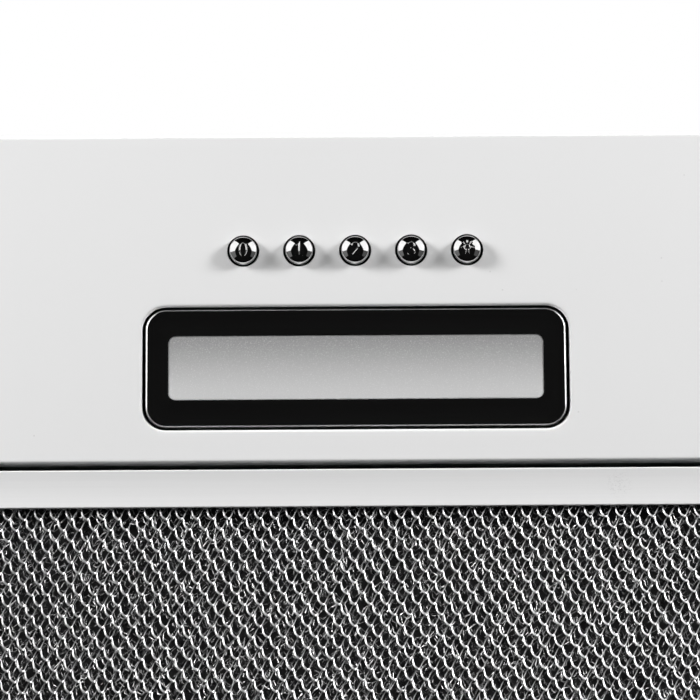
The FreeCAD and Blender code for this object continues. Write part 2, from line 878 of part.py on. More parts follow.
def motor():
    length = motor_end - motor_start
    can = rod("motor_can", d.motor_radius, length, motor_start, blower_y, d.blower_z, X_AXIS)
    bore = rod("motor_bore", d.shaft_radius + d.shaft_gap, length + 2 * d.shaft_gap,
               motor_start - d.shaft_gap, blower_y, d.blower_z, X_AXIS)
    node(cut("motor_body", can, [bore]), "motor_body")
    start = motor_start + d.shaft_inset
    reach = boss_end + d.nut_height + d.shaft_end - start
    node(rod("motor_shaft", d.shaft_radius, reach, start, blower_y, d.blower_z, X_AXIS), "motor_shaft")
    nut = hexagon("wheel_nut_hex", d.nut_flats / math.sqrt(3), d.nut_height, boss_end, blower_y, d.blower_z,
                  X_AXIS)
    hole = rod("wheel_nut_hole", d.shaft_radius, 3 * d.nut_height, boss_end - d.nut_height, blower_y,
               d.blower_z, X_AXIS)
    node(cut("wheel_nut", nut, [hole]), "wheel_nut")


def motor_mounting():
    """A three-armed spider carries the motor in the left inlet; each arm is bonded to a rubber foot."""
    cheek = -half_width - float(d.scroll_wall)
    thick, arm, side = float(d.spider_thickness), float(d.spider_arm), float(d.foot_side)
    radius = float(d.spider_disc)
    lift = float(motor_start)
    foot = float(d.inlet_radius + d.foot_side / 2 + d.spider_reach)
    arms, feet = [], []
    for turn in (0, 120, 240):
        bar = Part.makeBox(thick, arm, foot - radius + arm, V(lift - thick, -arm / 2, radius - arm / 2))
        rubber = Part.makeBox(cheek - lift, side, side, V(lift, -side / 2, foot - side / 2))
        for piece, pile in ((bar, arms), (rubber, feet)):
            piece.rotate(V(), X_AXIS, turn)
            piece.translate(hub)
            pile.append(piece)
    disc = Part.makeCylinder(radius, thick, hub + V(lift - thick, 0, 0), X_AXIS)
    formed("motor_spider", disc.multiFuse(arms).removeSplitter())
    formed("motor_mounts", Part.makeCompound(feet))


scroll_wrap()
scroll_side("scroll_side_left", -1)
scroll_side("scroll_side_right", 1)
fan_wheel()
motor()
motor_mounting()


# ---------------------------------------------------------------- electrics
def hollow_box(name, x, y, z, wall, open_side):
    """A box with one open face: open_side is the index of the axis, at its high end."""
    outer = block(name + "_outer", x, y, z)
    spans = []
    for index, (low, high) in enumerate((x, y, z)):
        spans.append((low + wall, high + wall if index == open_side else high - wall))
    return cut(name, outer, [block(name + "_inner", *spans)])


def electrics():
    half = d.terminal_length / 2
    x = (terminal_x - half, terminal_x + half)
    y = (wall_front, wall_front + d.terminal_depth)
    z = (d.terminal_z, d.terminal_z + d.terminal_height)
    node(hollow_box("terminal_box", x, y, z, d.terminal_wall, 1), "terminal_box")
    lid = block("terminal_lid", x, (y[1], y[1] + d.terminal_wall), z)
    node(lid, "terminal_lid")
    spot = (terminal_x, gland_y)
    body = hexagon("gland_body", d.gland_radius + d.gland_shoulder, d.gland_cap / 2, *spot, cover_top)
    crown = hexagon("gland_crown", d.gland_radius, d.gland_cap / 2, *spot, cover_top + d.gland_cap / 2)
    shank = rod("gland_shank", d.gland_radius, d.gland_shank, *spot, cover_top - d.gland_shank)
    bore = rod("gland_hole", d.gland_bore, d.gland_cap + 2 * d.gland_shank, *spot,
               cover_top - 2 * d.gland_shank)
    node(cut("cable_gland", join("gland_solid", [shank, body, crown]), [bore]), "cable_gland")
    # the capacitor stands in a folded clip on the front wall
    steel = d.clip_sheet
    low = d.terminal_z - d.capacitor_length - d.capacitor_drop
    middle = wall_front + d.capacitor_radius
    capacitor_x = x[0] - d.capacitor_gap
    node(rod("capacitor", d.capacitor_radius, d.capacitor_length, capacitor_x, middle, low), "capacitor")
    left, right = capacitor_x - d.capacitor_radius, capacitor_x + d.capacitor_radius
    back = middle + d.capacitor_radius
    band_low = low + d.capacitor_length / 2 - d.clip_band / 2
    band = (band_low, band_low + d.clip_band)
    outside = block("clip_outside", (left - steel, right + steel), (wall_front, back + steel), band)
    inside = block("clip_inside", (left, right), (wall_front - steel, back),
                   (band_low - steel, band[1] + steel))
    feet = [block("clip_foot_left", (left - d.clip_band, left), (wall_front, wall_front + steel), band),
            block("clip_foot_right", (right, right + d.clip_band), (wall_front, wall_front + steel), band)]
    clip = join("capacitor_clip_solid", [cut("clip_bow", outside, [inside])] + feet)
    node(clip, "capacitor_clip")
    half = d.driver_length / 2
    driver_x = d.driver_end - casing_width / 2
    driver = block("lamp_driver", (driver_x - half, driver_x + half), (wall_front, wall_front + d.driver_depth),
                   (d.driver_z, d.driver_z + d.driver_height))
    node(driver, "lamp_driver")


def control_cover():
    """A folded sheet that keeps grease off the switch and the lamp."""
    body = new_body("control_cover")
    rear, front = opening_front - d.sheet - d.cover_air, wall_front + d.cover_air
    bend = opening_front - d.cover_slope
    outline = new_sketch(body, 0, "YZ_Plane")
    low, top = d.cover_rear_height, d.cover_front_height
    thick = d.sheet
    draw_polygon(outline, [
        (rear, floor), (rear, low), (bend, top), (front, top), (front, top - thick),
        (bend - thick / 5, top - thick), (rear - thick, low - thick / 2), (rear - thick, floor)])
    pad(body, outline, casing_width - 2 * (d.casing_flange + d.cover_slack), middle=True)


def switch_unit():
    low = shoulder + d.button_travel + d.switch_air
    high = low + d.switch_height
    half = d.switch_length / 2
    y = (button_y - d.switch_depth / 2, button_y + d.switch_depth / 2)
    solid = block("switch_solid", (-half, half), y, (low, high))
    reach = d.button_stem / 2 + d.stem_gap
    wells = [block("switch_well_%d" % index, (x - reach, x + reach), (button_y - reach, button_y + reach),
                   (low - d.well_wall, high - d.well_wall)) for index, x in enumerate(button_xs)]
    node(cut("switch_body", solid, wells), "switch_body")
    # a bridge over the switch block, with a foot at each end
    steel = d.bracket_sheet
    near = half + d.bracket_gap
    far = near + steel + d.bracket_foot
    outer = block("bridge_outer", (-(near + steel), near + steel), y, (floor, high + steel))
    inner = block("bridge_inner", (-near, near), (y[0] - steel, y[1] + steel), (floor - steel, high))
    feet = [block("bridge_foot_left", (-far, -near), y, (floor, floor + steel)),
            block("bridge_foot_right", (near, far), y, (floor, floor + steel))]
    bridge = join("bridge_solid", [cut("bridge_band", outer, [inner])] + feet)
    node(bridge, "switch_bracket")


def button(name, x):
    """A round cap with a bevelled rim and a square stem that runs in the switch block."""
    body = new_body(name)
    tip = face - d.button_reach
    outline = new_sketch(body, tip)
    draw_circle(outline, x, button_y, d.button_radius)
    pad(body, outline, shoulder - tip)
    bevel_edges(body, d.button_bevel, at_level(tip, button_y, flange_width, 2 * d.button_radius))
    stem = new_sketch(body, shoulder)
    draw_square(stem, x, button_y, d.button_stem)
    pad(body, stem, d.stem_length)


def lamp():
    bezel = new_body("lamp_bezel")
    outline = new_sketch(bezel, face)
    draw_rounded(outline, 0, lamp_y, d.bezel_length, d.bezel_depth, d.bezel_corner)
    pad(bezel, outline, d.bezel_height)
    bevel_edges(bezel, d.bezel_bevel, at_level(face, lamp_y, d.bezel_length, d.bezel_depth))
    inside = new_sketch(bezel, face + d.bezel_wall)
    wall = 2 * d.bezel_wall
    draw_rounded(inside, 0, lamp_y, d.bezel_length - wall, d.bezel_depth - wall, d.bezel_corner - d.bezel_wall)
    pocket(bezel, inside, d.bezel_height)
    window = new_sketch(bezel, face)
    draw_rounded(window, 0, lamp_y, window_length, window_depth, d.window_corner)
    pocket(bezel, window, 2 * d.bezel_wall)

    diffuser = new_body("lamp_diffuser")
    pane = new_sketch(diffuser, face + d.bezel_wall)
    lap = 2 * d.diffuser_lap
    draw_rounded(pane, 0, lamp_y, window_length + lap, window_depth + lap, d.window_corner)
    pad(diffuser, pane, d.diffuser_thickness)

    tray = new_body("lamp_housing")
    low = face + d.bezel_wall + d.diffuser_thickness
    outer = new_sketch(tray, low)
    gap = wall + 2 * d.tray_gap
    draw_rounded(outer, 0, lamp_y, d.bezel_length - gap, d.bezel_depth - gap,
                 d.bezel_corner - d.bezel_wall - d.tray_gap)
    pad(tray, outer, d.tray_height)
    hollow = new_sketch(tray, low)
    gap = 2 * d.tray_window_gap
    draw_rounded(hollow, 0, lamp_y, window_length + gap, window_depth + gap, d.window_corner)
    pocket(tray, hollow, d.tray_height - d.bezel_wall)

    top = low + d.tray_height - d.bezel_wall
    half = window_length / 2 - d.board_end
    reach = d.board_depth / 2
    board = block("led_board", (-half, half), (lamp_y - reach, lamp_y + reach), (top - d.board_thickness, top))
    node(board, "led_board")
    count = int(float(d.led_count))
    pitch = (window_length - 2 * d.led_end) / count
    chip = d.led_size / 2
    low_z = top - d.board_thickness - d.led_height
    chips = []
    for index in range(count):
        middle = (index - (count - 1) / 2) * pitch
        chips.append(block("led_%d" % index, (middle - chip, middle + chip), (lamp_y - chip, lamp_y + chip),
                           (low_z, low_z + d.led_height)))
    group("led_chips", chips)


def lamp_clips():
    """Spring arms at both ends of the lamp press on the back of the panel."""
    steel, width = float(d.arm_steel), float(d.arm_width)
    end = float(d.bezel_length / 2 - d.bezel_wall - d.tray_gap)
    top = float(face + d.bezel_wall + d.diffuser_thickness + d.tray_height)
    seat = float(floor)
    reach = float(d.arm_reach)
    hook = float(lamp_hole[0] / 2 + d.sheet) + reach
    heel = hook + float(d.arm_bend)
    toe = heel + float(d.arm_toe)
    line = [(end - float(d.arm_lap), top), (end, top), (hook, seat + reach), (heel, seat),
            (toe, seat + float(d.arm_lift))]
    upper = [(x, z + steel) for x, z in line]
    clips = []
    for side in (-1, 1):
        points = [V(side * x, float(lamp_y) - width / 2, z) for x, z in line + upper[::-1] + line[:1]]
        clips.append(Part.Face(Part.makePolygon(points)).extrude(V(0, width, 0)))
    formed("lamp_clips", Part.makeCompound(clips))


electrics()
control_cover()
switch_unit()
for button_name, button_x in zip(("button_off", "button_low", "button_medium", "button_high", "button_light"),
                                 button_xs):
    button(button_name, button_x)
lamp()
lamp_clips()


# ---------------------------------------------------------------- grease filter
filter_low = face + d.filter_recess
filter_high = filter_low + d.filter_height
filter_front = opening_front + d.filter_gap_front
filter_rear = opening_rear - d.filter_gap_rear
filter_width = d.opening_width - 2 * d.filter_gap_side
filter_depth = filter_rear - filter_front
filter_middle = (filter_front + filter_rear) / 2


def filter_frame():
    """A channel folded round the edge of the mesh, open towards the middle."""
    body = new_body("filter_frame")

    def ring(level, height, width):
        sketch = new_sketch(body, level)
        draw_rounded(sketch, 0, filter_middle, filter_width, filter_depth, d.filter_corner)
        inner = d.filter_corner - width if float(d.filter_corner) > float(width) + 0.5 else d.filter_sheet
        draw_rounded(sketch, 0, filter_middle, filter_width - 2 * width, filter_depth - 2 * width, inner)
        pad(body, sketch, height)

    ring(filter_low, d.filter_height, d.filter_sheet)
    ring(filter_low, d.filter_sheet, d.filter_bar)
    ring(filter_high - d.filter_sheet, d.filter_sheet, d.filter_bar)
    slots = new_sketch(body, filter_low + (d.filter_height - d.slot_height) / 2)
    for x, _ in mirrored_pair(d.catch_span / 2, (0,)):
        draw_rounded(slots, x, filter_front, d.catch_width + 2 * d.slot_slack, 4 * d.filter_sheet,
                     d.filter_sheet)
    pocket(body, slots, d.slot_height)


def rounded_wire(width, depth, radius, centre):
    """A closed outline with four round corners, as a wire."""
    flat = math.sqrt(0.5) * radius
    edges = []
    for quadrant in range(4):
        turn = FreeCAD.Rotation(Z_AXIS, 90 * quadrant)
        half_x, half_y = (width / 2, depth / 2) if quadrant % 2 == 0 else (depth / 2, width / 2)
        corner = V(half_x - radius, half_y - radius, 0)
        spots = [corner + V(radius, 0, 0), corner + V(flat, flat, 0), corner + V(0, radius, 0),
                 V(radius - half_x, half_y, 0)]
        spots = [centre + turn.multVec(spot) for spot in spots]
        edges.append(Part.Arc(*spots[:3]).toShape())
        edges.append(Part.LineSegment(spots[2], spots[3]).toShape())
    return Part.Wire(edges)


def net(low, thick, columns, rows, strand):
    """One sheet with staggered diamond gaps, cut as one holed face."""
    slack = float(d.filter_sheet + d.mesh_slack)
    width = float(filter_width) - 2 * slack
    depth = float(filter_depth) - 2 * slack
    bar = float(d.filter_bar) - slack
    centre = V(0, float(filter_middle), low)
    step_x = (width - 2 * bar) / columns
    step_y = (depth - 2 * bar) / rows
    outline = rounded_wire(width, depth, float(d.filter_corner) - slack, centre)
    across, along = V((step_x - strand) / 2, 0, 0), V(0, (step_y - strand) / 2, 0)
    gaps = []
    for row in range(2 * rows - 1):
        shift = 0.5 if row % 2 else 0.0
        y = (row / 2 + 0.5 - rows / 2) * step_y
        for column in range(columns - row % 2):
            spot = centre + V((column + shift + 0.5 - columns / 2) * step_x, y, 0)
            corners = [spot + across, spot + along, spot - across, spot - along]
            gaps.append(Part.makePolygon(corners + corners[:1]))
    return Part.makeFace([outline] + gaps, "Part::FaceMakerBullseye").extrude(V(0, 0, thick))


def filter_layers():
    thick = float(d.mesh_thickness)
    low = float(filter_low + d.filter_sheet)
    high = float(filter_high - d.filter_sheet)
    strand = float(d.mesh_strand)
    front = net(low, thick, int(float(d.mesh_columns)), int(float(d.mesh_rows)), strand)
    formed("filter_mesh", front)
    back = net(high - thick, thick, int(float(d.back_columns)), int(float(d.back_rows)), strand)
    formed("filter_back", back)
    slack = d.filter_sheet + d.mesh_slack
    core = new_body("filter_core")
    outline = new_sketch(core, filter_low + d.filter_sheet + d.mesh_thickness)
    draw_rounded(outline, 0, filter_middle, filter_width - 2 * slack, filter_depth - 2 * slack,
                 d.filter_corner - slack)
    pad(core, outline, d.filter_height - 2 * (d.filter_sheet + d.mesh_thickness))


def filter_tabs():
    """Two hooks on the rear edge rest on the panel and carry the filter as it swings."""
    low = floor + d.tab_seat
    tabs = []
    for index, side in enumerate((-1, 1)):
        x = (side * d.tab_span / 2 - d.tab_width / 2, side * d.tab_span / 2 + d.tab_width / 2)
        tongue = block("tab_tongue_%d" % index, x, (filter_rear, filter_rear + d.tab_reach),
                       (low, low + d.tab_thickness))
        leg = block("tab_leg_%d" % index, x, (filter_rear, filter_rear + d.filter_sheet),
                    (low, filter_high - d.tab_leg_gap))
        tabs.append(join("tab_%d" % index, [tongue, leg]))
    group("filter_tabs", tabs)


def filter_catches():
    """Steel leaves on the strip's rear return; each nose springs into a slot of the filter."""
    wall = float(opening_front)
    steel = float(d.catch_steel)
    slot = float(filter_low + d.filter_height / 2)
    nose = float(filter_front + d.catch_nose)
    half_slot = float(d.slot_height) / 2
    top = float(return_top)
    lead, tail, drop = float(d.catch_lead), float(d.catch_tail), float(d.catch_tail_drop)
    line = [(wall, top), (wall, slot + half_slot + lead), (nose - steel, slot),
            (wall + tail, slot - half_slot - drop)]
    back = [(y + steel, z) for y, z in line[::-1]]
    leaves = []
    for side in (-1, 1):
        x = side * float(d.catch_span) / 2 - float(d.catch_width) / 2
        points = [V(x, y, z) for y, z in line + back + line[:1]]
        leaves.append(Part.Face(Part.makePolygon(points)).extrude(V(float(d.catch_width), 0, 0)))
    formed("filter_catches", Part.makeCompound(leaves))


ring_y = filter_front + d.filter_bar / 2
ring_z = filter_low - d.saddle_plate - d.ring_wire - d.saddle_air


def pull_ring(name, side):
    """A wire ring that hangs from its saddle; the straight top runs through it."""
    wire = float(d.ring_wire)
    half = float(d.ring_width) / 2
    drop, corner = float(d.ring_drop), float(d.ring_corner)
    centre = V(side * float(d.ring_span) / 2, float(ring_y), float(ring_z))
    turns = [V(0, 0, 0), V(-half, 0, 0), V(-half, 0, corner - drop), V(corner - half, 0, -drop),
             V(half - corner, 0, -drop), V(half, 0, corner - drop), V(half, 0, 0), V(0, 0, 0)]
    section = Part.Wire([Part.makeCircle(wire, V(0, 0, 0), X_AXIS)])
    shape = Part.makePolygon(turns).makePipeShell([section], True, False, 1)
    shape.translate(centre)
    formed(name, shape)


def ring_saddles():
    pieces = []
    for index, side in enumerate((-1, 1)):
        middle = side * d.ring_span / 2
        x = (middle - d.saddle_length / 2, middle + d.saddle_length / 2)
        plate = block("saddle_plate_%d" % index, x, (ring_y - d.saddle_width / 2, ring_y + d.saddle_width / 2),
                      (filter_low - d.saddle_plate, filter_low))
        neck = block("saddle_neck_%d" % index, x, (ring_y - d.saddle_radius, ring_y + d.saddle_radius),
                     (ring_z, filter_low - d.saddle_plate / 2))
        barrel = rod("saddle_barrel_%d" % index, d.saddle_radius, d.saddle_length, x[0], ring_y, ring_z, X_AXIS)
        bore = rod("saddle_bore_%d" % index, d.ring_wire + d.pin_gap, d.saddle_length + 2 * beyond,
                   x[0] - beyond, ring_y, ring_z, X_AXIS)
        pieces.append(cut("saddle_%d" % index, join("saddle_solid_%d" % index, [plate, neck, barrel]), [bore]))
    group("ring_saddles", pieces)


filter_frame()
filter_layers()
filter_tabs()
filter_catches()
pull_ring("ring_left", -1)
pull_ring("ring_right", 1)
ring_saddles()


# ---------------------------------------------------------------- checks and files
doc.recompute()
for thing in doc.Objects:
    if "Invalid" in thing.State or "Error" in thing.State:
        raise RuntimeError("%s did not compute" % thing.Label)
for piece in nodes:
    if piece.Shape.isNull() or not piece.Shape.isValid():
        raise RuntimeError("%s has no valid shape" % piece.Label)
os.makedirs("parts", exist_ok=True)
for piece in nodes:
    piece.Shape.exportStep("parts/%s.step" % piece.Label)
print(len(nodes), "pieces")
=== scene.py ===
import math

import bmesh
import bpy
import numpy as np
from mathutils import Matrix, Vector
from mathutils.geometry import delaunay_2d_cdt


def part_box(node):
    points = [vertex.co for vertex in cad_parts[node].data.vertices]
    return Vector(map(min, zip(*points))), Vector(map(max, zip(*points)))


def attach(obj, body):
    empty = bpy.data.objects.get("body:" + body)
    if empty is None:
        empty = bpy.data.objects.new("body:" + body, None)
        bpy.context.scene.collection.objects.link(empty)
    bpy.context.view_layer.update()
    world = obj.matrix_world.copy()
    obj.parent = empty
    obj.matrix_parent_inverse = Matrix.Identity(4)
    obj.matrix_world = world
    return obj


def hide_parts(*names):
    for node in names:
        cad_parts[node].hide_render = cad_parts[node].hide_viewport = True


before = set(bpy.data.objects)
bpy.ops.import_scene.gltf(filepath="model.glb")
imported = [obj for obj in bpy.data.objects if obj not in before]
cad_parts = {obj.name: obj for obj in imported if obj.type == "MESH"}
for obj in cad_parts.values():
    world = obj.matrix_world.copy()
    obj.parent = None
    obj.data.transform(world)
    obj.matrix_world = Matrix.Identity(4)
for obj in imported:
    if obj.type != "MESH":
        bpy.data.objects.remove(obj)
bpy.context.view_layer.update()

mm = 0.001

# ------------------------------------------------------------------ camera, light and floor
# The hood hangs with its strip facing down. The camera is a long way below it, tipped 12.4 degrees towards the
# rear edge, with the front edge at the top of the picture. A lamp stands low at the left and one at the right. White,
# grey and black cards, which only mirrors see, give the polished pieces their reflections.

panel_low, panel_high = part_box("base_panel")
face_z = panel_low.z
aim_left = 1.95 * mm
aim_depth = 75 * mm
aim = Vector((-aim_left, panel_low.y + aim_depth, face_z))
distance = 1.486
tip = math.radians(12.4)
roll = math.radians(0.35)

view_line = Vector((0, -math.sin(tip), math.cos(tip)))
level_right = Vector((1, 0, 0))
level_up = level_right.cross(view_line)
right = level_right * math.cos(roll) - level_up * math.sin(roll)
up = level_up * math.cos(roll) + level_right * math.sin(roll)


def placed(name, data):
    """A new object in the scene, at the origin."""
    made = bpy.data.objects.new(name, data)
    bpy.context.scene.collection.objects.link(made)
    return made


camera = placed("camera", bpy.data.cameras.new("camera"))
camera.data.lens = 226.3
camera.data.sensor_width = 36
camera.data.clip_end = 60
turned = Matrix((right, up, -view_line)).transposed().to_4x4()
camera.matrix_world = Matrix.Translation(aim - view_line * distance) @ turned
bpy.context.scene.camera = camera
bpy.context.scene.view_settings.view_transform = "Standard"


class Value:
    """One output of a shader node. Arithmetic on it adds Math nodes to the tree that it belongs to."""

    def __init__(self, finish, socket):
        self.finish = finish
        self.socket = socket

    def math(self, operation, first, second):
        return self.finish.add("ShaderNodeMath", {"operation": operation}, {0: first, 1: second})

    def __add__(self, other):
        return self.math("ADD", self, other)

    def __radd__(self, other):
        return self.math("ADD", self, other)

    def __sub__(self, other):
        return self.math("SUBTRACT", self, other)

    def __rsub__(self, other):
        return self.math("SUBTRACT", other, self)

    def __mul__(self, other):
        return self.math("MULTIPLY", self, other)

    def __rmul__(self, other):
        return self.math("MULTIPLY", self, other)

    def __truediv__(self, other):
        return self.math("DIVIDE", self, other)

    def __gt__(self, other):
        return self.math("GREATER_THAN", self, other)

    def step(self, low, high):
        """0 below low, 1 above high and a smooth change between them."""
        return self.finish.add("ShaderNodeMapRange", {"interpolation_type": "SMOOTHSTEP"},
                               {"Value": self, "From Min": low, "From Max": high}, "Result")


class Finish:
    """The node tree of a material or of the world, with one method that adds any node."""

    def __init__(self, owner):
        owner.use_nodes = True
        self.tree = owner.node_tree
        self.tree.nodes.clear()

    def add(self, kind, settings=None, sockets=None, output=0):
        """A node of a kind, with its settings first and its sockets after them; gives one of its outputs."""
        node = self.tree.nodes.new(kind)
        for name, setting in (settings or {}).items():
            setattr(node, name, setting)
        for name, given in (sockets or {}).items():
            if isinstance(given, Value):
                self.tree.links.new(given.socket, node.inputs[name])
            else:
                node.inputs[name].default_value = given
        return Value(self, node.outputs[output]) if len(node.outputs) else node

    def place(self, stretch=(1, 1, 1), turn=(0, 0, 0)):
        """Object coordinates in metres, stretched and turned."""
        spot = self.add("ShaderNodeTexCoord", output="Object")
        return self.add("ShaderNodeMapping", None, {"Vector": spot, "Scale": stretch, "Rotation": turn})

    def noise(self, per_metre, stretch=(1, 1, 1), turn=(0, 0, 0), detail=2.0, roughness=0.5):
        return self.add("ShaderNodeTexNoise", None, {"Vector": self.place(stretch, turn), "Scale": per_metre,
                                                     "Detail": detail, "Roughness": roughness})

    def cells(self, per_metre, stretch=(1, 1, 1), output="Color"):
        """A random value for each cell, or the distance from its middle."""
        cell = self.add("ShaderNodeTexVoronoi", None, {"Vector": self.place(stretch), "Scale": per_metre}, output)
        if output == "Color":
            return self.add("ShaderNodeSeparateColor", None, {0: cell})
        return cell

    def blend(self, share, first, second):
        """A colour between two colours."""
        return self.add("ShaderNodeMix", {"data_type": "RGBA"}, {0: share, 6: first, 7: second}, 2)

    def bump(self, height, depth, strength=1.0):
        return self.add("ShaderNodeBump", None, {"Height": height, "Distance": depth, "Strength": strength})

    def surface(self, **sockets):
        """The Principled shader, with spaces in its sockets' names written as underscores."""
        named = {name.replace("_", " "): given for name, given in sockets.items()}
        shader = self.add("ShaderNodeBsdfPrincipled", None, named)
        self.add("ShaderNodeOutputMaterial", None, {"Surface": shader})


def grey(level, warmth=0.0):
    return (level * (1 + warmth), level, level * (1 - warmth), 1)


def material(name):
    made = bpy.data.materials.new(name)
    return made, Finish(made)


def soft_box(name, towards, reach, size, watts):
    """A rectangular lamp that looks at the aim point from a direction."""
    lamp = placed(name, bpy.data.lights.new(name, "AREA"))
    lamp.data.shape = "RECTANGLE"
    lamp.data.size, lamp.data.size_y = size
    lamp.data.energy = watts
    lamp.location = aim + Vector(towards).normalized() * reach
    lamp.rotation_euler = (aim - lamp.location).to_track_quat("-Z", "Y").to_euler()


def low_side(side, forward, down):
    """A direction to the left (-1) or right (1), turned to the front and down by angles in degrees."""
    forward, down = math.radians(forward), math.radians(down)
    return (side * math.cos(down) * math.cos(forward), -math.cos(down) * math.sin(forward), -math.sin(down))


key_forward, key_down = 26, 17.5
key_reach = 1.4
key_size = (0.44, 0.26)
far_reach = 2.4
soft_box("key_left", low_side(-1, key_forward, key_down), key_reach, key_size, 24.8)
soft_box("key_right", low_side(1, key_forward, key_down), key_reach, key_size, 24)
soft_box("top_light", (0.3, -0.5, 0.8), far_reach, (2.4, 2.4), 34)
soft_box("back_light", (-0.4, 0.8, 0.35), far_reach, (2.0, 1.4), 46)

# the air is white to the camera and in mirrors; on matt pieces it is dimmer, and more so from the rear
air = Finish(bpy.data.worlds.new("air"))
bpy.context.scene.world = bpy.data.worlds["air"]
seen = air.add("ShaderNodeLightPath", output="Is Camera Ray")
mirrored = air.add("ShaderNodeLightPath", output="Is Glossy Ray")
through = air.add("ShaderNodeLightPath", output="Is Transmission Ray")
bright_ray = seen + mirrored + through
plain_level = 0.24
front_share, rear_share = 1.8, 0.2
rearward = air.add("ShaderNodeSeparateXYZ", None, {0: air.add("ShaderNodeTexCoord", output="Generated")}, "Y")
soft_level = plain_level * (front_share - (front_share - rear_share) * rearward.step(-0.3, 0.3))
background = air.add("ShaderNodeBackground", None,
                     {"Color": grey(1.0), "Strength": bright_ray + (1 - bright_ray) * soft_level})
air.add("ShaderNodeOutputWorld", None, {"Surface": background})


def card(name, middle, across, along):
    """A flat sheet for the set, from its middle and two half sides."""
    made = bpy.data.meshes.new(name)
    made.from_pydata([Vector(middle) + Vector(across) * u + Vector(along) * v
                      for u, v in ((-1, -1), (1, -1), (1, 1), (-1, 1))], [], [(0, 1, 2, 3)])
    made.materials.append(bpy.data.materials.new(name))
    sheet = placed(name, made)
    return sheet, Finish(made.materials[0])


def for_mirrors_only(sheet):
    sheet.visible_camera = sheet.visible_diffuse = sheet.visible_shadow = sheet.visible_transmission = False
    sheet.visible_volume_scatter = False


# the floor is white to the camera, like the air behind it, and a lit sheet to every other ray
far_sides = ((30, 0, 0), (0, 30, 0))
floor_z = -5.2
floor_glow = 1.12
floor, finish = card("floor", (0, 0, floor_z), *far_sides)
floor.visible_diffuse = False
pale = finish.blend(finish.noise(0.6), grey(0.88), grey(0.92))
matt = finish.add("ShaderNodeBsdfDiffuse", None, {"Color": pale})
white = finish.add("ShaderNodeEmission", None, {"Color": pale, "Strength": floor_glow})
seen = finish.add("ShaderNodeLightPath", output="Is Camera Ray")
lit = finish.add("ShaderNodeMixShader", None, {0: seen, 1: matt, 2: white})
finish.add("ShaderNodeOutputMaterial", None, {"Surface": lit})

# a black card below keeps the polished pieces dark; white cards light their sides, and grey ones fill the shadow
black_z = -1.9
card_down = 26
card_reach = 1.3
card_half_height = 0.44
black_card, finish = card("black_card", (0, 0, black_z), *far_sides)
for_mirrors_only(black_card)
finish.surface(Base_Color=finish.blend(finish.noise(3), grey(0.006), grey(0.01)), Roughness=0.9,
               Specular_IOR_Level=0.0)
for side in (-1, 1):
    for name, forward, half_width, strength in (("white", 31, 0.6, 1.25), ("grey", -12, 0.36, 0.13 - 0.04 * side)):
        towards = Vector(low_side(side, forward, card_down))
        level = towards.cross(Vector((0, 0, 1))).normalized()
        side_card, finish = card("%s_card_%d" % (name, side + 2), aim + towards * card_reach, level * half_width,
                                 towards.cross(level) * card_half_height)
        for_mirrors_only(side_card)
        glow = finish.add("ShaderNodeEmission", None,
                          {"Color": finish.blend(finish.noise(1), grey(0.95), grey(1.0)), "Strength": strength})
        finish.add("ShaderNodeOutputMaterial", None, {"Surface": glow})


# ------------------------------------------------------------------ base panel
# One pressed steel sheet in white baked enamel: the flange that closes the cabinet cut-out, the control strip and
# the edge of the filter opening. Every edge is rolled inward, and four screws hold it up through pressed pads.

sheet = 0.8 * mm
margin = 0.7 * mm
flange_corner = 4 * mm
edge_bend = 0.7 * mm
roll_end = 218
fold_out, fold_rise = 0.5 * mm, 0.25 * mm
inside_slack = 0.1 * mm


def ring_rows(centre, rows, steps=10):
    """Closed outlines, one for each row of (half width, half depth, corner radius, height). Each is a rectangle with
    round corners: corner centre + radius * (cos a, sin a), with a going once round."""
    quarter = np.linspace(0, math.pi / 2, steps + 1)
    turn = np.concatenate([quarter + index * math.pi / 2 for index in range(4)])
    side_x = np.repeat([1, -1, -1, 1], steps + 1)
    side_y = np.repeat([1, 1, -1, -1], steps + 1)
    half_x, half_y, corner, z = (np.array(rows, float).T)[:, :, None]
    x = centre[0] + (half_x - corner) * side_x + corner * np.cos(turn)
    y = centre[1] + (half_y - corner) * side_y + corner * np.sin(turn)
    return np.stack([x, y, z + 0 * x], axis=-1)


def rolled(out, radius, first, last, middle_z, steps=6):
    """Rows of an arc in the wall's section: distance from the opening and height, for an angle in degrees."""
    angle = np.radians(np.linspace(first, last, steps + 1))
    return list(zip(out + radius * np.cos(angle), middle_z + radius * np.sin(angle)))


def grid_faces(rows, columns, start=0, join_rows=False, join_columns=False):
    """Quads between neighbours of a grid of points; a joined direction runs round to its start."""
    index = start + np.arange(rows * columns).reshape(rows, columns)
    if join_rows:
        index = np.vstack([index, index[:1]])
    if join_columns:
        index = np.hstack([index, index[:, :1]])
    return np.stack([index[:-1, :-1], index[1:, :-1], index[1:, 1:], index[:-1, 1:]], axis=-1).reshape(-1, 4)


def outward_mesh(name, points, faces, merge=0):
    """A mesh with its faces turned outward, and points that are closer than the merge distance joined."""
    made = bpy.data.meshes.new(name)
    made.from_pydata(points.tolist(), [], faces)
    work = bmesh.new()
    work.from_mesh(made)
    if merge:
        bmesh.ops.remove_doubles(work, verts=work.verts, dist=merge)
        bmesh.ops.dissolve_degenerate(work, dist=merge, edges=work.edges)
    bmesh.ops.recalc_face_normals(work, faces=work.faces)
    work.to_mesh(made)
    work.free()
    return made


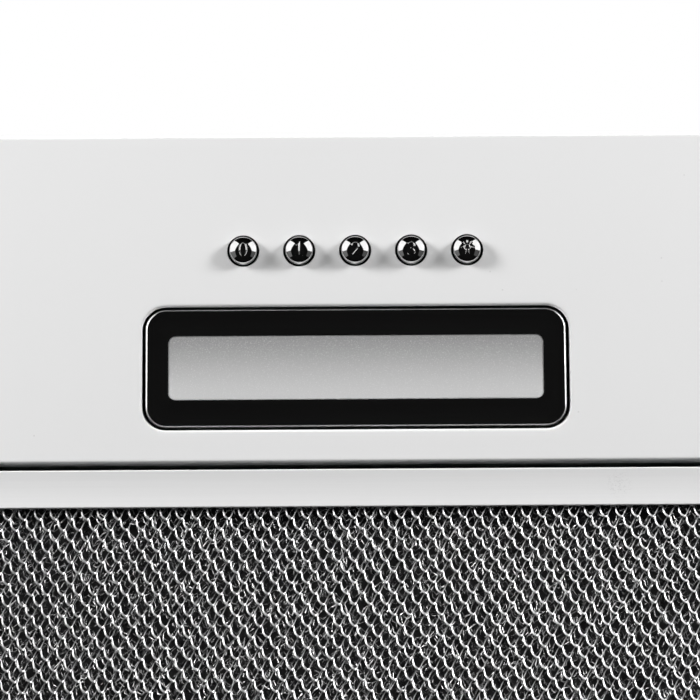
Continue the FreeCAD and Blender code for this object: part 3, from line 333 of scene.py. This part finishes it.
class Shell:
    """A mesh that is gathered from grids and flat faces, then closed along the edges that they share."""

    def __init__(self):
        self.points, self.faces, self.count = [], [], 0

    def grid(self, points, join_rows=False, join_columns=False):
        rows, columns = points.shape[:2]
        self.faces += grid_faces(rows, columns, self.count, join_rows, join_columns).tolist()
        self.keep(points.reshape(-1, 3))

    def flat(self, outline, holes=()):
        """A level face inside an outline, less its holes, as well-shaped triangles. A triangle is kept where a line
        from its centre to the side crosses an odd number of edges."""
        loops = [outline] + list(holes)
        edges, start = [], 0
        for loop in loops:
            edges += [(start + index, start + (index + 1) % len(loop)) for index in range(len(loop))]
            start += len(loop)
        plan = np.concatenate(loops)[:, :2]
        spots, _, triangles = delaunay_2d_cdt([Vector(point) for point in plan], edges, [], 0, 1e-7)[:3]
        spots, triangles = np.array(spots), np.array(triangles)
        x, y = spots[triangles].mean(axis=1).T[:, :, None]
        (first_x, first_y), (last_x, last_y) = plan[np.array(edges)].transpose(1, 2, 0)[:, :, None, :]
        with np.errstate(divide="ignore", invalid="ignore"):
            left_of = x < first_x + (y - first_y) / (last_y - first_y) * (last_x - first_x)
        crossed = ((first_y > y) != (last_y > y)) & left_of
        kept = triangles[crossed.sum(axis=1) % 2 == 1]
        self.faces += (self.count + kept).tolist()
        self.keep(np.column_stack([spots, np.full(len(spots), outline[0][2])]))

    def keep(self, points):
        self.points.append(points)
        self.count += len(points)

    def finish(self, name, crease=35, merge=0.002 * mm):
        made = outward_mesh(name, np.concatenate(self.points), self.faces, merge)
        made.polygons.foreach_set("use_smooth", np.ones(len(made.polygons), bool))
        made.set_sharp_from_angle(angle=math.radians(crease))
        return placed(name, made)


def stands_for(piece, paint, body, slot, *nodes):
    """A finished piece takes a node's place and finish, and moves with its body."""
    piece.data.materials.clear()
    piece.data.materials.append(paint)
    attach(piece, body)
    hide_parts(*nodes)


def notch(piece, low, high):
    """Cuts a box out of a closed piece."""
    corners = [(x, y, z) for x in (low[0], high[0]) for y in (low[1], high[1]) for z in (low[2], high[2])]
    box = bpy.data.meshes.new("notch")
    box.from_pydata(corners, [], [(0, 1, 3, 2), (4, 6, 7, 5), (0, 4, 5, 1), (2, 3, 7, 6), (0, 2, 6, 4), (1, 5, 7, 3)])
    cutter = placed("notch", box)
    cut = piece.modifiers.new("notch", "BOOLEAN")
    cut.object = cutter
    cut.solver = "EXACT"
    whole = piece.evaluated_get(bpy.context.evaluated_depsgraph_get())
    piece.data = bpy.data.meshes.new_from_object(whole)
    piece.modifiers.clear()
    bpy.data.objects.remove(cutter)


def opening_rows(half_x, half_y, corner, radius, top):
    """Section of an edge that is rolled inward and folded back: flat margin, roll, fold, wall, and its back face."""
    roll = rolled(radius, radius, 270, roll_end, face_z + radius)
    fold = roll[-1][0] + fold_out
    back = min(fold + sheet, radius + margin)
    section = [(radius + margin, face_z)] + roll + [(fold, roll[-1][1] + fold_rise), (fold, top), (back, top)]
    section += [(back, face_z + sheet + inside_slack), (radius + margin, face_z + sheet)]
    return [(half_x + out, half_y + out, corner + out, z) for out, z in section]


opening_low_y = panel_low.y + 113.6 * mm
opening_half = (228 * mm, 75.5 * mm)
opening_corner = 7 * mm
opening_bend = 1.15 * mm
opening_centre = (0, opening_low_y + opening_half[1])
lamp_low, lamp_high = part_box("lamp_bezel")
lamp_centre = ((lamp_low.x + lamp_high.x) / 2, (lamp_low.y + lamp_high.y) / 2)
lamp_half = ((lamp_high.x - lamp_low.x) / 2, (lamp_high.y - lamp_low.y) / 2)
lamp_hole = (lamp_half[0] + 0.8 * mm, lamp_half[1] + 0.8 * mm, 7.8 * mm)
lamp_hole_bend = 1.3 * mm
lamp_hole_depth = 3 * mm
button_names = ("button_off", "button_low", "button_medium", "button_high", "button_light")
button_boxes = [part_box(name) for name in button_names]
button_spots = [((low.x + high.x) / 2, (low.y + high.y) / 2) for low, high in button_boxes]
button_hole = 5.4 * mm
button_hole_bend = 0.3 * mm
button_hole_depth = 1.9 * mm
screw_spots = [(x * mm, y * mm) for x in (-252, 252) for y in (-100, 100)]
# half width, corner radius and height above the face, all in millimetres, from the pad's rim to the back of the sheet
screw_pad = [(6.1, 0.4, 0), (4.5, 0.4, 2.0), (2.25, 2.25, 2.0), (2.25, 2.25, 2.8), (4.9, 0.4, 2.8), (6.5, 0.4, 0.8)]

panel = Shell()
openings = [ring_rows(opening_centre, opening_rows(*opening_half, opening_corner, opening_bend, panel_high.z)),
            ring_rows(lamp_centre, opening_rows(*lamp_hole, lamp_hole_bend, face_z + lamp_hole_depth))]
openings += [ring_rows(spot, opening_rows(button_hole, button_hole, button_hole, button_hole_bend,
                                          face_z + button_hole_depth)) for spot in button_spots]
openings += [ring_rows(spot, [(half * mm, half * mm, corner * mm, face_z + rise * mm)
                              for half, corner, rise in screw_pad]) for spot in screw_spots]
edge_section = [(-edge_bend - margin, face_z)] + rolled(-edge_bend, edge_bend, 270, 360, face_z + edge_bend)
edge_section += [(0, 0), (-sheet, 0), (-sheet, face_z + edge_bend), (-sheet - 2 * inside_slack, face_z + sheet)]
edge_section += [(-edge_bend - margin, face_z + sheet)]
edge = ring_rows((0, 0), [(panel_high.x + out, panel_high.y + out, flange_corner + out, z)
                          for out, z in edge_section])
for part in [edge] + openings:
    panel.grid(part, join_columns=True)
for row in (0, -1):
    panel.flat(edge[row], [opening[row] for opening in openings])
base_panel = panel.finish("enamelled_panel")

# two slots in the opening's rear wall, where the filter's tabs hook in
tab_x = 150 * mm
tab_half = 9 * mm
slot_front, slot_back = opening_low_y + 150.5 * mm, opening_low_y + 153.2 * mm
for x in (-tab_x, tab_x):
    notch(base_panel, (x - tab_half, slot_front, face_z + sheet), (x + tab_half, slot_back, panel_high.z + 1 * mm))

enamel, finish = material("white_enamel")
cloud = finish.noise(9, detail=3)
speck = finish.cells(240, output="Distance")
chosen = finish.cells(240)
dust = (1 - speck.step(0.04, 0.09)) * (chosen > 0.93)
tone = finish.blend(cloud, grey(0.785), grey(0.805))
finish.surface(Base_Color=finish.blend(dust * 0.35, tone, grey(0.45, 0.02)),
               Roughness=0.33 + 0.08 * cloud,
               Normal=finish.bump(finish.noise(900, detail=1), 0.02 * mm, 0.25))
stands_for(base_panel, enamel, "hood", "white_enamel", "base_panel")


# ------------------------------------------------------------------ casing, cover and control cover
# The casing is folded from galvanised sheet and welded to the panel. The top cover laps over its upper edge, and a
# folded cover keeps grease off the switch and the lamp. Bright spring strips at both ends grip the cut-out.

def dress(paint, *names):
    """Gives CAD nodes a finish."""
    for name in names:
        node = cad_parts[name]
        node.data.materials.clear()
        node.data.materials.append(paint)


galvanised, finish = material("galvanised_sheet")
spangle = finish.cells(90, (1, 1, 1.3))
frost = finish.noise(260, detail=3)
finish.surface(Base_Color=finish.blend(spangle * 0.7 + frost * 0.3, grey(0.27, -0.02), grey(0.44, -0.02)),
               Metallic=0.28, Roughness=0.62 + 0.14 * spangle,
               Normal=finish.bump(spangle + frost * 0.4, 0.05 * mm, 0.2))
dress(galvanised, "casing_shell", "top_cover", "control_cover", "motor_spider", "capacitor_clip", "switch_bracket")

spring, finish = material("spring_strip")
drawn = finish.noise(60, (1, 1, 30), detail=3)
finish.surface(Base_Color=finish.blend(drawn, grey(0.5), grey(0.68)), Metallic=0.95,
               Roughness=0.22 + 0.15 * drawn, Normal=finish.bump(drawn, 0.02 * mm, 0.2))
dress(spring, "cabinet_clips", "lamp_clips", "filter_catches")


# ------------------------------------------------------------------ duct collar and flaps
# A moulded grey collar is screwed to the cover. Two pale flaps on one steel pin fall shut under their own weight
# and keep outside air from coming back.

moulded, finish = material("grey_moulding")
grain = finish.noise(1500, detail=2)
flow = finish.noise(14, (1, 1, 2), detail=2)
finish.surface(Base_Color=finish.blend(flow, grey(0.075), grey(0.105)), Roughness=0.46 + 0.12 * grain,
               Normal=finish.bump(grain, 0.04 * mm, 0.35))
dress(moulded, "duct_collar")

pale, finish = material("pale_moulding")
grain = finish.noise(1800, detail=2)
flow = finish.noise(20, detail=2)
finish.surface(Base_Color=finish.blend(flow, grey(0.56, 0.01), grey(0.64, 0.01)), Roughness=0.42 + 0.1 * grain,
               Normal=finish.bump(grain, 0.03 * mm, 0.3))
dress(pale, "flap_left", "flap_right", "terminal_box", "terminal_lid", "lamp_driver", "lamp_housing")

zinc, finish = material("zinc_plate")
patch = finish.noise(500, detail=3)
finish.surface(Base_Color=finish.blend(patch, grey(0.5, -0.03), grey(0.7, -0.01)), Metallic=0.95,
               Roughness=0.25 + 0.2 * patch, Normal=finish.bump(patch, 0.02 * mm, 0.3))
dress(zinc, "flap_pin", "collar_screws", "motor_shaft")


# ------------------------------------------------------------------ blower
# A black moulded scroll hangs from the cover. Its squirrel-cage wheel turns on the motor, which stands in the left
# inlet on a three-armed spider with rubber feet.

black, finish = material("black_moulding")
grain = finish.noise(1300, detail=2)
flow = finish.noise(18, detail=2)
finish.surface(Base_Color=finish.blend(flow, grey(0.018), grey(0.032)), Roughness=0.4 + 0.15 * grain,
               Normal=finish.bump(grain, 0.04 * mm, 0.35))
dress(black, "scroll_wrap", "scroll_side_left", "scroll_side_right", "fan_wheel", "switch_body", "cable_gland")

can, finish = material("motor_paint")
peel = finish.noise(800, detail=2)
finish.surface(Base_Color=finish.blend(finish.noise(30), grey(0.1), grey(0.14)), Metallic=0.2,
               Roughness=0.42 + 0.1 * peel, Normal=finish.bump(peel, 0.04 * mm, 0.4))
dress(can, "motor_body")

rubber, finish = material("black_rubber")
dusty = finish.noise(300, detail=4)
finish.surface(Base_Color=finish.blend(dusty, grey(0.02), grey(0.04)), Roughness=0.75 + 0.15 * dusty,
               Normal=finish.bump(dusty, 0.05 * mm, 0.4))
dress(rubber, "motor_mounts")

brass, finish = material("turned_brass")
ring_marks = finish.noise(700, detail=3)
finish.surface(Base_Color=finish.blend(ring_marks, (0.55, 0.4, 0.16, 1), (0.68, 0.53, 0.26, 1)), Metallic=1.0,
               Roughness=0.25 + 0.2 * ring_marks, Normal=finish.bump(ring_marks, 0.02 * mm, 0.3))
dress(brass, "wheel_nut")


# ------------------------------------------------------------------ electrics
# The motor's run capacitor stands in its folded clip on the front wall, beside the terminal box that the cable
# gland feeds.

case, finish = material("capacitor_case")
gloss = finish.noise(40, detail=3)
finish.surface(Base_Color=finish.blend(gloss, grey(0.68, 0.01), grey(0.75, 0.01)),
               Roughness=0.22 + 0.1 * gloss, Normal=finish.bump(gloss, 0.05 * mm, 0.2))
dress(case, "capacitor")


# ------------------------------------------------------------------ push buttons
# Five moulded keys plated in mirror chrome: a domed cap with its mark pressed in, and a square stem that runs in the
# switch block. The marks are off, three speeds and the lamp.

cap_radius = 4.95 * mm
face_radius = 4.4 * mm
face_slope = math.radians(38)
rim_round = 0.25 * mm
rim_slope = math.radians(78)
mark_depth = 0.18 * mm
mark_width = 0.2 * mm
skirt_depth = 0.3 * mm
shoulder_height = 4 * mm
shoulder_cut = 0.4 * mm
stem_half, stem_corner = 2 * mm, 0.3 * mm
cap_steps = 124


def disc_grid(steps):
    """A square grid carried onto a disc: rings of the square become rings of the disc, evenly spaced in angle.
    Gives each point's share of the radius and its angle."""
    line = np.linspace(-1, 1, steps + 1)
    u, v = np.meshgrid(line, line, indexing="ij")
    wide = np.abs(u) > np.abs(v)
    big = np.where(wide, u, v)
    small = np.where(wide, v, u)
    lean = math.pi / 4 * np.divide(small, big, out=np.zeros_like(big), where=big != 0)
    return np.abs(big), np.where(wide, lean, math.pi / 2 - lean) + np.where(big < 0, math.pi, 0)


def arc_line(centre, radii, first, last, steps=18):
    """Points of an ellipse's arc: centre + (rx cos a, ry sin a)."""
    angle = np.radians(np.linspace(first, last, steps + 1))
    return np.stack([centre[0] + radii[0] * np.cos(angle), centre[1] + radii[1] * np.sin(angle)], axis=-1)


def distance_to(points, line):
    """Shortest distance from each point to a line of straight runs."""
    nearest = np.full(points.shape[:-1], 1.0)
    for start, end in zip(line[:-1], line[1:]):
        run = end - start
        share = np.clip(((points - start) @ run) / (run @ run), 0, 1)
        nearest = np.minimum(nearest, np.linalg.norm(points - start - share[..., None] * run, axis=-1))
    return nearest


def straight(*spots):
    return np.array(spots, float)


# the marks' lines, in millimetres from the middle of the cap: 0, 1, 2, 3 and a bulb with five rays
bulb_middle = 0.35
rays = [straight(*[(reach * math.cos(a), bulb_middle + reach * math.sin(a)) for reach in (1.55, 2.15)])
        for a in np.radians([0, 45, 90, 135, 180])]
marks = {
    "button_off": [arc_line((0, 0), (1.25, 2.3), 0, 360, 36)],
    "button_low": [straight((-0.95, 1.3), (0, 2.3), (0, -2.3)), straight((-0.95, -2.3), (0.95, -2.3))],
    "button_medium": [np.concatenate([arc_line((0, 1.05), (1.3, 1.25), 170, -25),
                                      straight((-1.3, -2.3), (1.4, -2.3))])],
    "button_high": [arc_line((0, 1.15), (1.2, 1.15), 150, -90), arc_line((0, -1.15), (1.3, 1.15), 90, -150)],
    "button_light": [arc_line((0, bulb_middle), (1.0, 1.0), -60, 240, 24), straight((0.5, -0.52), (0.5, -1.5)),
                     straight((-0.5, -0.52), (-0.5, -1.5)), straight((-0.5, -1.9), (0.5, -1.9))] + rays,
}

chrome, finish = material("mirror_chrome")
haze = finish.noise(700, detail=4)
fleck = finish.cells(5200, output="Distance")
finish.surface(Base_Color=finish.blend(haze, grey(0.72), grey(0.8)), Metallic=1.0,
               Roughness=0.03 + 0.12 * haze.step(0.55, 0.75) * (1 - fleck.step(0.1, 0.3)))


def push_button(name, spot, low, high):
    """The cap's section is a flat arc over the face that runs into a tight one at the rim: radius = R sin(slope),
    height = R (1 - cos(slope)). A skirt widens to the hole. The mark is a bell-shaped groove along its lines."""
    share, angle = disc_grid(cap_steps)
    face_arc = face_radius / math.sin(face_slope)
    rim_start = face_arc * face_slope
    along = share * (rim_start + rim_round * (rim_slope - face_slope))
    slope = np.where(along < rim_start, along / face_arc, face_slope + (along - rim_start) / rim_round)
    on_face = np.minimum(slope, face_slope)
    radius = face_arc * np.sin(on_face) + rim_round * (np.sin(slope) - np.sin(on_face))
    rise = face_arc * (1 - np.cos(on_face)) + rim_round * (np.cos(on_face) - np.cos(slope))
    x, y = radius * np.cos(angle), radius * np.sin(angle)
    drawn_at = np.stack([x, -y], axis=-1)
    near = np.min([distance_to(drawn_at, line * mm) for line in marks[name]], axis=0)
    groove = mark_depth * np.exp(-(near / mark_width) ** 2)
    key = Shell()
    key.grid(np.stack([spot[0] + x, spot[1] + y, low.z + rise + groove], axis=-1))
    shoulder = face_z + shoulder_height
    turn = np.linspace(0, 2 * math.pi, 4 * cap_steps, endpoint=False) + math.pi / 4
    wall = [(radius.max(), low.z + rise.max()), (cap_radius, face_z + skirt_depth),
            (cap_radius, shoulder - shoulder_cut), (cap_radius - shoulder_cut, shoulder)]
    rings = np.array([[(spot[0] + r * math.cos(a), spot[1] + r * math.sin(a), z) for a in turn] for r, z in wall])
    key.grid(rings, join_columns=True)
    stem = ring_rows(spot, [(stem_half, stem_half, stem_corner, z) for z in (shoulder, high.z)], 2)
    key.grid(stem, join_columns=True)
    key.flat(rings[-1], [stem[0]])
    key.flat(stem[1])
    return key.finish(name.replace("button", "key"), 50, 0.001 * mm)


for name, spot, (low, high) in zip(button_names, button_spots, button_boxes):
    stands_for(push_button(name, spot, low, high), chrome, name, "button_chrome", name)


# ------------------------------------------------------------------ lamp
# A mirror-polished steel bezel frames a frosted pane. Behind it a white tray holds the strip of LEDs, and spring
# arms at both ends press the lamp up against the panel.

bezel_face = face_z - 0.4 * mm
bezel_corner = 7 * mm
bezel_round = 0.9 * mm
bezel_wall = 1.4 * mm
window_half = (63.2 * mm, 11 * mm)
window_corner = 2.4 * mm
window_round = 0.12 * mm
pane_face = bezel_face + 0.1 * mm
pane_gap = 0.06 * mm
pane_round = 0.3 * mm


def bezel_rows():
    """Closed section: outer wall, rounded edge, face, window edge, and back along the inside."""
    outer = [(0, lamp_high.z)] + [(-bezel_round + out, z) for out, z in
                                  rolled(0, bezel_round, 0, -90, bezel_face + bezel_round)]
    rows = [(lamp_half[0] + out, lamp_half[1] + out, bezel_corner + out, z) for out, z in outer]
    inner = rolled(window_round, window_round, 270, 180, bezel_face + window_round, 4) + [(0, face_z + bezel_wall)]
    rows += [(window_half[0] + out, window_half[1] + out, window_corner + out, z) for out, z in inner]
    rows += [(lamp_half[0] - bezel_wall, lamp_half[1] - bezel_wall, bezel_corner - bezel_wall, z)
             for z in (face_z + bezel_wall, lamp_high.z)]
    return rows


bezel = Shell()
bezel.grid(ring_rows(lamp_centre, bezel_rows(), 14), join_rows=True, join_columns=True)
polished, finish = material("polished_bezel")
wipe = finish.noise(25, (1, 4, 1), detail=4)
above_face = finish.add("ShaderNodeSeparateXYZ", None, {0: finish.place()}, "Z") - bezel_face
satin_rim = above_face.step(0.03 * mm, 0.2 * mm)
finish.surface(Base_Color=finish.blend(wipe, grey(0.66), grey(0.74)), Metallic=1.0,
               Roughness=0.04 + 0.04 * wipe + 0.3 * satin_rim)
stands_for(bezel.finish("polished_bezel"), polished, "hood", "bezel_steel", "lamp_bezel")

frosted, finish = material("frosted_pane")
# painted shade: the pane's colour runs from dark at its front edge to light towards the rear, standing in for the
# shade inside the lamp
across = finish.add("ShaderNodeSeparateXYZ", None, {0: finish.place()}, "Y")
painted_shade_share = ((across - lamp_low.y) / (lamp_high.y - lamp_low.y)).step(0.12, 0.85)
sparkle = finish.noise(2500, detail=3, roughness=0.7)
pane_tone_with_painted_shade = finish.blend(painted_shade_share, grey(0.225), grey(0.66))
finish.surface(Base_Color=finish.blend(sparkle.step(0.52, 0.72) * 0.3, pane_tone_with_painted_shade, grey(0.95)), Roughness=0.5,
               Normal=finish.bump(sparkle, 0.08 * mm, 0.5))
pane_low, pane_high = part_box("lamp_diffuser")
pane_half = ((pane_high.x - pane_low.x) / 2, (pane_high.y - pane_low.y) / 2)
pane_corner = 2.6 * mm
front_corner = 2.3 * mm


def pane_rows():
    """Section of a plate behind the bezel and of a raised front that fills the window, with rounded edges."""
    rows = [(*pane_half, pane_corner, z) for z in (pane_high.z, pane_low.z)]
    raised = [(0, pane_low.z)] + rolled(-pane_round, pane_round, 0, -90, pane_face + pane_round)
    rows += [(window_half[0] - pane_gap + out, window_half[1] - pane_gap + out, front_corner + out, z)
             for out, z in raised]
    return rows


pane = Shell()
pane_rings = ring_rows(lamp_centre, pane_rows())
pane.grid(pane_rings, join_columns=True)
pane.flat(pane_rings[0])
pane.flat(pane_rings[-1])
stands_for(pane.finish("frosted_pane"), frosted, "hood", "frosted_glass", "lamp_diffuser")

board, finish = material("lamp_board")
finish.surface(Base_Color=finish.blend(finish.noise(400), grey(0.72), grey(0.78)), Roughness=0.45)
dress(board, "led_board")

phosphor, finish = material("led_phosphor")
finish.surface(Base_Color=finish.blend(finish.noise(2000), (0.78, 0.62, 0.18, 1), (0.85, 0.72, 0.3, 1)),
               Roughness=0.3)
dress(phosphor, "led_chips")


# ------------------------------------------------------------------ grease filter
# A rolled aluminium channel holds two faces of expanded mesh with crumpled layers between them. Hooks at the rear
# rest on the panel, and steel leaves catch the front edge.

filter_low, filter_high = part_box("filter_frame")
filter_centre = ((filter_low.x + filter_high.x) / 2, (filter_low.y + filter_high.y) / 2)
filter_half = ((filter_high.x - filter_low.x) / 2, (filter_high.y - filter_low.y) / 2)
bar = 12.9 * mm
skin = 0.8 * mm
lip = 0.35 * mm
frame_corner = 6 * mm
least_corner = 0.4 * mm
frame_round = 0.5 * mm
hem = 0.06 * mm


def channel_rows():
    """Closed section of the channel: inner lip of the lower bar, its face a hem's depth higher, the outside, the
    upper bar and back along the inside."""
    low, high = filter_low.z, filter_high.z
    section = [(-bar, low + lip)] + rolled(-bar + lip, lip, 180, 270, low + lip, 4)
    section += [(-bar + lip + 0.15 * mm, low), (-bar + lip + 0.5 * mm, low + hem)]
    section += [(-frame_round - 0.5 * mm, low + hem)]
    section += rolled(-frame_round, frame_round, 270, 360, low + frame_round)
    section += rolled(-frame_round, frame_round, 0, 90, high - frame_round)
    section += [(-bar, high), (-bar, high - skin), (-skin, high - skin), (-skin, low + skin), (-bar, low + skin)]
    return [(filter_half[0] + out, filter_half[1] + out, max(frame_corner + out, least_corner), z)
            for out, z in section]


channel = Shell()
channel.grid(ring_rows(filter_centre, channel_rows()), join_rows=True, join_columns=True)
filter_frame = channel.finish("filter_channel")

# two slots in the front wall, where the leaf catches click in
catch_x = 165 * mm
catch_half = 7 * mm
catch_low, catch_high = filter_low.z + 2.65 * mm, filter_low.z + 5.85 * mm
for x in (-catch_x, catch_x):
    notch(filter_frame, (x - catch_half, filter_low.y - 1 * mm, catch_low),
          (x + catch_half, filter_low.y + 1.2 * mm, catch_high))

satin, finish = material("satin_aluminium")
streak = finish.noise(40, (0.25, 30, 1), detail=4)
fine_streak = finish.noise(110, (0.2, 25, 1), detail=2)
smudge_spot = (88 * mm, filter_low.y + 5.6 * mm, filter_low.z)
smudge_core, smudge_edge = 1.5 * mm, 6 * mm
away = finish.add("ShaderNodeVectorMath", {"operation": "DISTANCE"}, {0: finish.place(), 1: smudge_spot}, "Value")
hatch = finish.noise(1500, (1, 1.6, 1), (0, 0, 0.7), detail=3, roughness=0.8)
smudge = (1 - away.step(smudge_core, smudge_edge)) * hatch.step(0.5, 0.75)
satin_tone = finish.blend(streak * 0.6 + fine_streak * 0.4, grey(0.73), grey(0.79))
finish.surface(Base_Color=finish.blend(smudge * 0.5, satin_tone, grey(0.3)), Metallic=0.12,
               Roughness=0.5 + 0.15 * streak, Normal=finish.bump(streak + fine_streak, 0.02 * mm, 0.3))
stands_for(filter_frame, satin, "filter", "filter_aluminium", "filter_frame")
dress(satin, "filter_tabs", "ring_saddles")

cell_width = 5.27 * mm
row_pitch = 3.65 * mm
strand_thick = 0.25 * mm
strand_clear = 0.3 * mm
tucked_in = 1.5 * mm
first_cell = 0.53

# a strand's eight spots in a cell: place, depth between the faces, share of the full width, and lean
strand_spots = np.array([(0, 0), (0.02, 0.36), (0.09, 0.7), (0.23, 0.93),
                         (0.39, 1.06), (0.49, 0.86), (0.61, 0.48), (0.76, 0.1)])
strand_deep = np.array([1, 0.5, -0.2, -0.8, -1, -0.7, 0, 0.7])
strand_broad = np.array([0.65, 0.8, 0.95, 1.3, 1.4, 0.35, 0.15, 0.0])
strand_lean = np.radians([34, 28, 26, 24, 26, 60, 72, 82])


def soft_noise(chance, shape, smoothing=4):
    """Random values along each row, averaged over a few neighbours and scaled back to a spread of one."""
    rough = chance.normal(0, 1, (shape[0], shape[1] + smoothing - 1))
    return sum(rough[:, step:step + shape[1]] for step in range(smoothing)) / math.sqrt(smoothing)


def expanded_mesh(name, low_z, high_z, finer, wide, thin, every=1, seed=0, crumpled=False):
    """Rows of slit and stretched strands. A strand repeats eight spots in each cell: x = cell (column + share), with
    even rows half a cell over, y = pitch (row + share), and z swings between the two faces. Its flat section leans,
    so that it shows its width down to the knuckle and its edge on the way back. Crumpling adds random waves."""
    cell, pitch = cell_width / finer, row_pitch / finer
    reach_x = filter_half[0] - bar + tucked_in
    reach_y = filter_half[1] - bar
    columns, rows = int(2 * reach_x / cell) - 1, int(2 * reach_y / pitch) + 2
    row = np.arange(rows)[:, None]
    step = np.arange(0, columns * 8 + 1, every)[None, :]
    share_x, share_y = strand_spots[step % 8].transpose(2, 0, 1)
    x = cell * (step // 8 + share_x + (row % 2 == 0) * 0.5 - columns // 2 - first_cell)
    y = filter_centre[1] - reach_y + pitch * (row - 1 + share_y)
    deep = strand_deep[step % 8] * (high_z - low_z - strand_thick - strand_clear) / 2
    width = thin + (wide - thin) * strand_broad[step % 8] + 0 * row
    lean = strand_lean[step % 8] + 0 * row
    z = (low_z + high_z) / 2 + deep + 0 * row
    chance = np.random.default_rng(seed)
    if crumpled:
        for offset, size in ((x, 0.7 * mm), (y, 0.6 * mm), (z, (high_z - low_z) * 0.4), (lean, 1.3)):
            offset += size * soft_noise(chance, x.shape)
    x_ahead, y_ahead = np.gradient(x, axis=1), np.gradient(y, axis=1)
    length = np.hypot(x_ahead, y_ahead)
    x_ahead, y_ahead = x_ahead / length, y_ahead / length
    corners = []
    for across, through in ((-1, -1), (1, -1), (1, 1), (-1, 1)):
        out = width * across / 2 * np.cos(lean) + through * strand_thick / 2 * np.sin(lean)
        rise = width * across / 2 * np.sin(lean) - through * strand_thick / 2 * np.cos(lean)
        corners.append(np.stack([x - y_ahead * out, y + x_ahead * out, np.clip(z - rise, low_z, high_z)], axis=-1))
    points = np.stack(corners, axis=2)
    length = points.shape[1]
    faces = [grid_faces(length, 4, index * length * 4, join_columns=True) for index in range(rows)]
    starts = np.arange(rows)[:, None] * length * 4
    faces += [starts + np.array([0, 1, 2, 3]), starts + length * 4 - 4 + np.array([3, 2, 1, 0])]
    return placed(name, outward_mesh(name, points.reshape(-1, 3), np.concatenate(faces).tolist()))


bright, finish = material("mesh_aluminium")
flake = finish.noise(420, detail=3)
finish.surface(Base_Color=finish.blend(flake, grey(0.54), grey(0.74)), Metallic=0.8,
               Roughness=0.26 + 0.15 * flake, Normal=finish.bump(flake, 0.05 * mm, 0.3))
mesh_widths = (0.62 * mm, 0.18 * mm)
for name, node, every in (("front_mesh", "filter_mesh", 1), ("back_mesh", "filter_back", 2)):
    low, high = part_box(node)
    stands_for(expanded_mesh(name, low.z, high.z, 1, *mesh_widths, every), bright, "filter", "mesh_aluminium", node)

foil, finish = material("crumpled_foil")
crease = finish.noise(900, detail=3, roughness=0.6)
finish.surface(Base_Color=finish.blend(crease, grey(0.6), grey(0.9)), Metallic=1.0,
               Roughness=0.16 + 0.12 * crease)
core_low, core_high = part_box("filter_core")
layer = (core_high.z - core_low.z) / 3
layer_finer = 1.45
layer_widths = (0.45 * mm, 0.3 * mm)
for index in range(2):
    layer_low = core_low.z + layer * index
    fine_layer = expanded_mesh("fine_layer_%d" % index, layer_low, layer_low + layer, layer_finer, *layer_widths,
                               every=2, seed=7 + index, crumpled=True)
    stands_for(fine_layer, foil, "filter", "foil_aluminium", "filter_core")

# painted shade: the pad's near-black colour stands in for the shade deep inside the filter behind the mesh layers
painted_shade_foil, finish = material("foil_painted_shade")
finish.surface(Base_Color=finish.blend(finish.noise(300, detail=4), grey(0.015), grey(0.05)), Metallic=0.5,
               Roughness=0.5)
fold_x, fold_y, fold_drift = 2.1 * mm, 1.7 * mm, 9 * mm


def foil_pad(name):
    """The last layers lie close together as one pad, with folds on both faces:
    z = middle +- half (0.7 + 0.3 cos(x / fold_x) cos(y / fold_y + sin(x / drift))). Its near-black colour is painted
    shade, the shade deep inside the filter."""
    pad_low = core_low.z + 2 * layer
    middle, half = (pad_low + core_high.z) / 2, (core_high.z - pad_low) / 2
    x, y = np.meshgrid(np.linspace(core_low.x, core_high.x, 240), np.linspace(core_low.y, core_high.y, 80),
                       indexing="ij")
    swell = half * (0.7 + 0.3 * np.cos(x / fold_x) * np.cos(y / fold_y + np.sin(x / fold_drift)))
    lower = np.stack([x, y, middle - swell], axis=-1)
    upper = np.stack([x, y, middle + swell], axis=-1)
    pad = Shell()
    for face in (lower, upper):
        pad.grid(face)
    for pick in ((0, slice(None)), (-1, slice(None)), (slice(None), 0), (slice(None), -1)):
        pad.grid(np.stack([lower[pick], upper[pick]]))
    return pad.finish(name)


stands_for(foil_pad("foil_pad"), painted_shade_foil, "filter", "foil_aluminium", "filter_core")


# ------------------------------------------------------------------ pull rings
# Two plated wire rings hang from saddles on the front bar; a finger in each pulls the filter down.

ring_corner = 5 * mm


def wire_ring(name, node):
    """A round wire along a rectangle with round corners in an upright plane: point + r (cos a outward + sin a Y)."""
    low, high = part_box(node)
    wire = (high.y - low.y) / 2
    centre = ((low.x + high.x) / 2, (low.z + high.z) / 2)
    half = ((high.x - low.x) / 2 - wire, (high.z - low.z) / 2 - wire)
    line = ring_rows(centre, [(*half, ring_corner, 0)], 12)[0][:, :2]
    ahead = np.roll(line, -1, axis=0) - np.roll(line, 1, axis=0)
    ahead /= np.linalg.norm(ahead, axis=1, keepdims=True)
    around = np.linspace(0, 2 * math.pi, 16, endpoint=False)
    out = wire * np.cos(around)[None, :]
    x = line[:, :1] + ahead[:, 1:] * out
    z = line[:, 1:] - ahead[:, :1] * out
    y = (low.y + high.y) / 2 + wire * np.sin(around)[None, :] + 0 * x
    ring = Shell()
    ring.grid(np.stack([x, y, z], axis=-1), join_rows=True, join_columns=True)
    return ring.finish(name)


plated, finish = material("plated_wire")
scuff = finish.noise(900, detail=3)
finish.surface(Base_Color=finish.blend(scuff, grey(0.55), grey(0.72)), Metallic=1.0, Roughness=0.18 + 0.15 * scuff,
               Normal=finish.bump(scuff, 0.02 * mm, 0.2))
for side in ("left", "right"):
    stands_for(wire_ring("pull_ring_" + side, "ring_" + side), plated, "ring_" + side, "ring_steel", "ring_" + side)
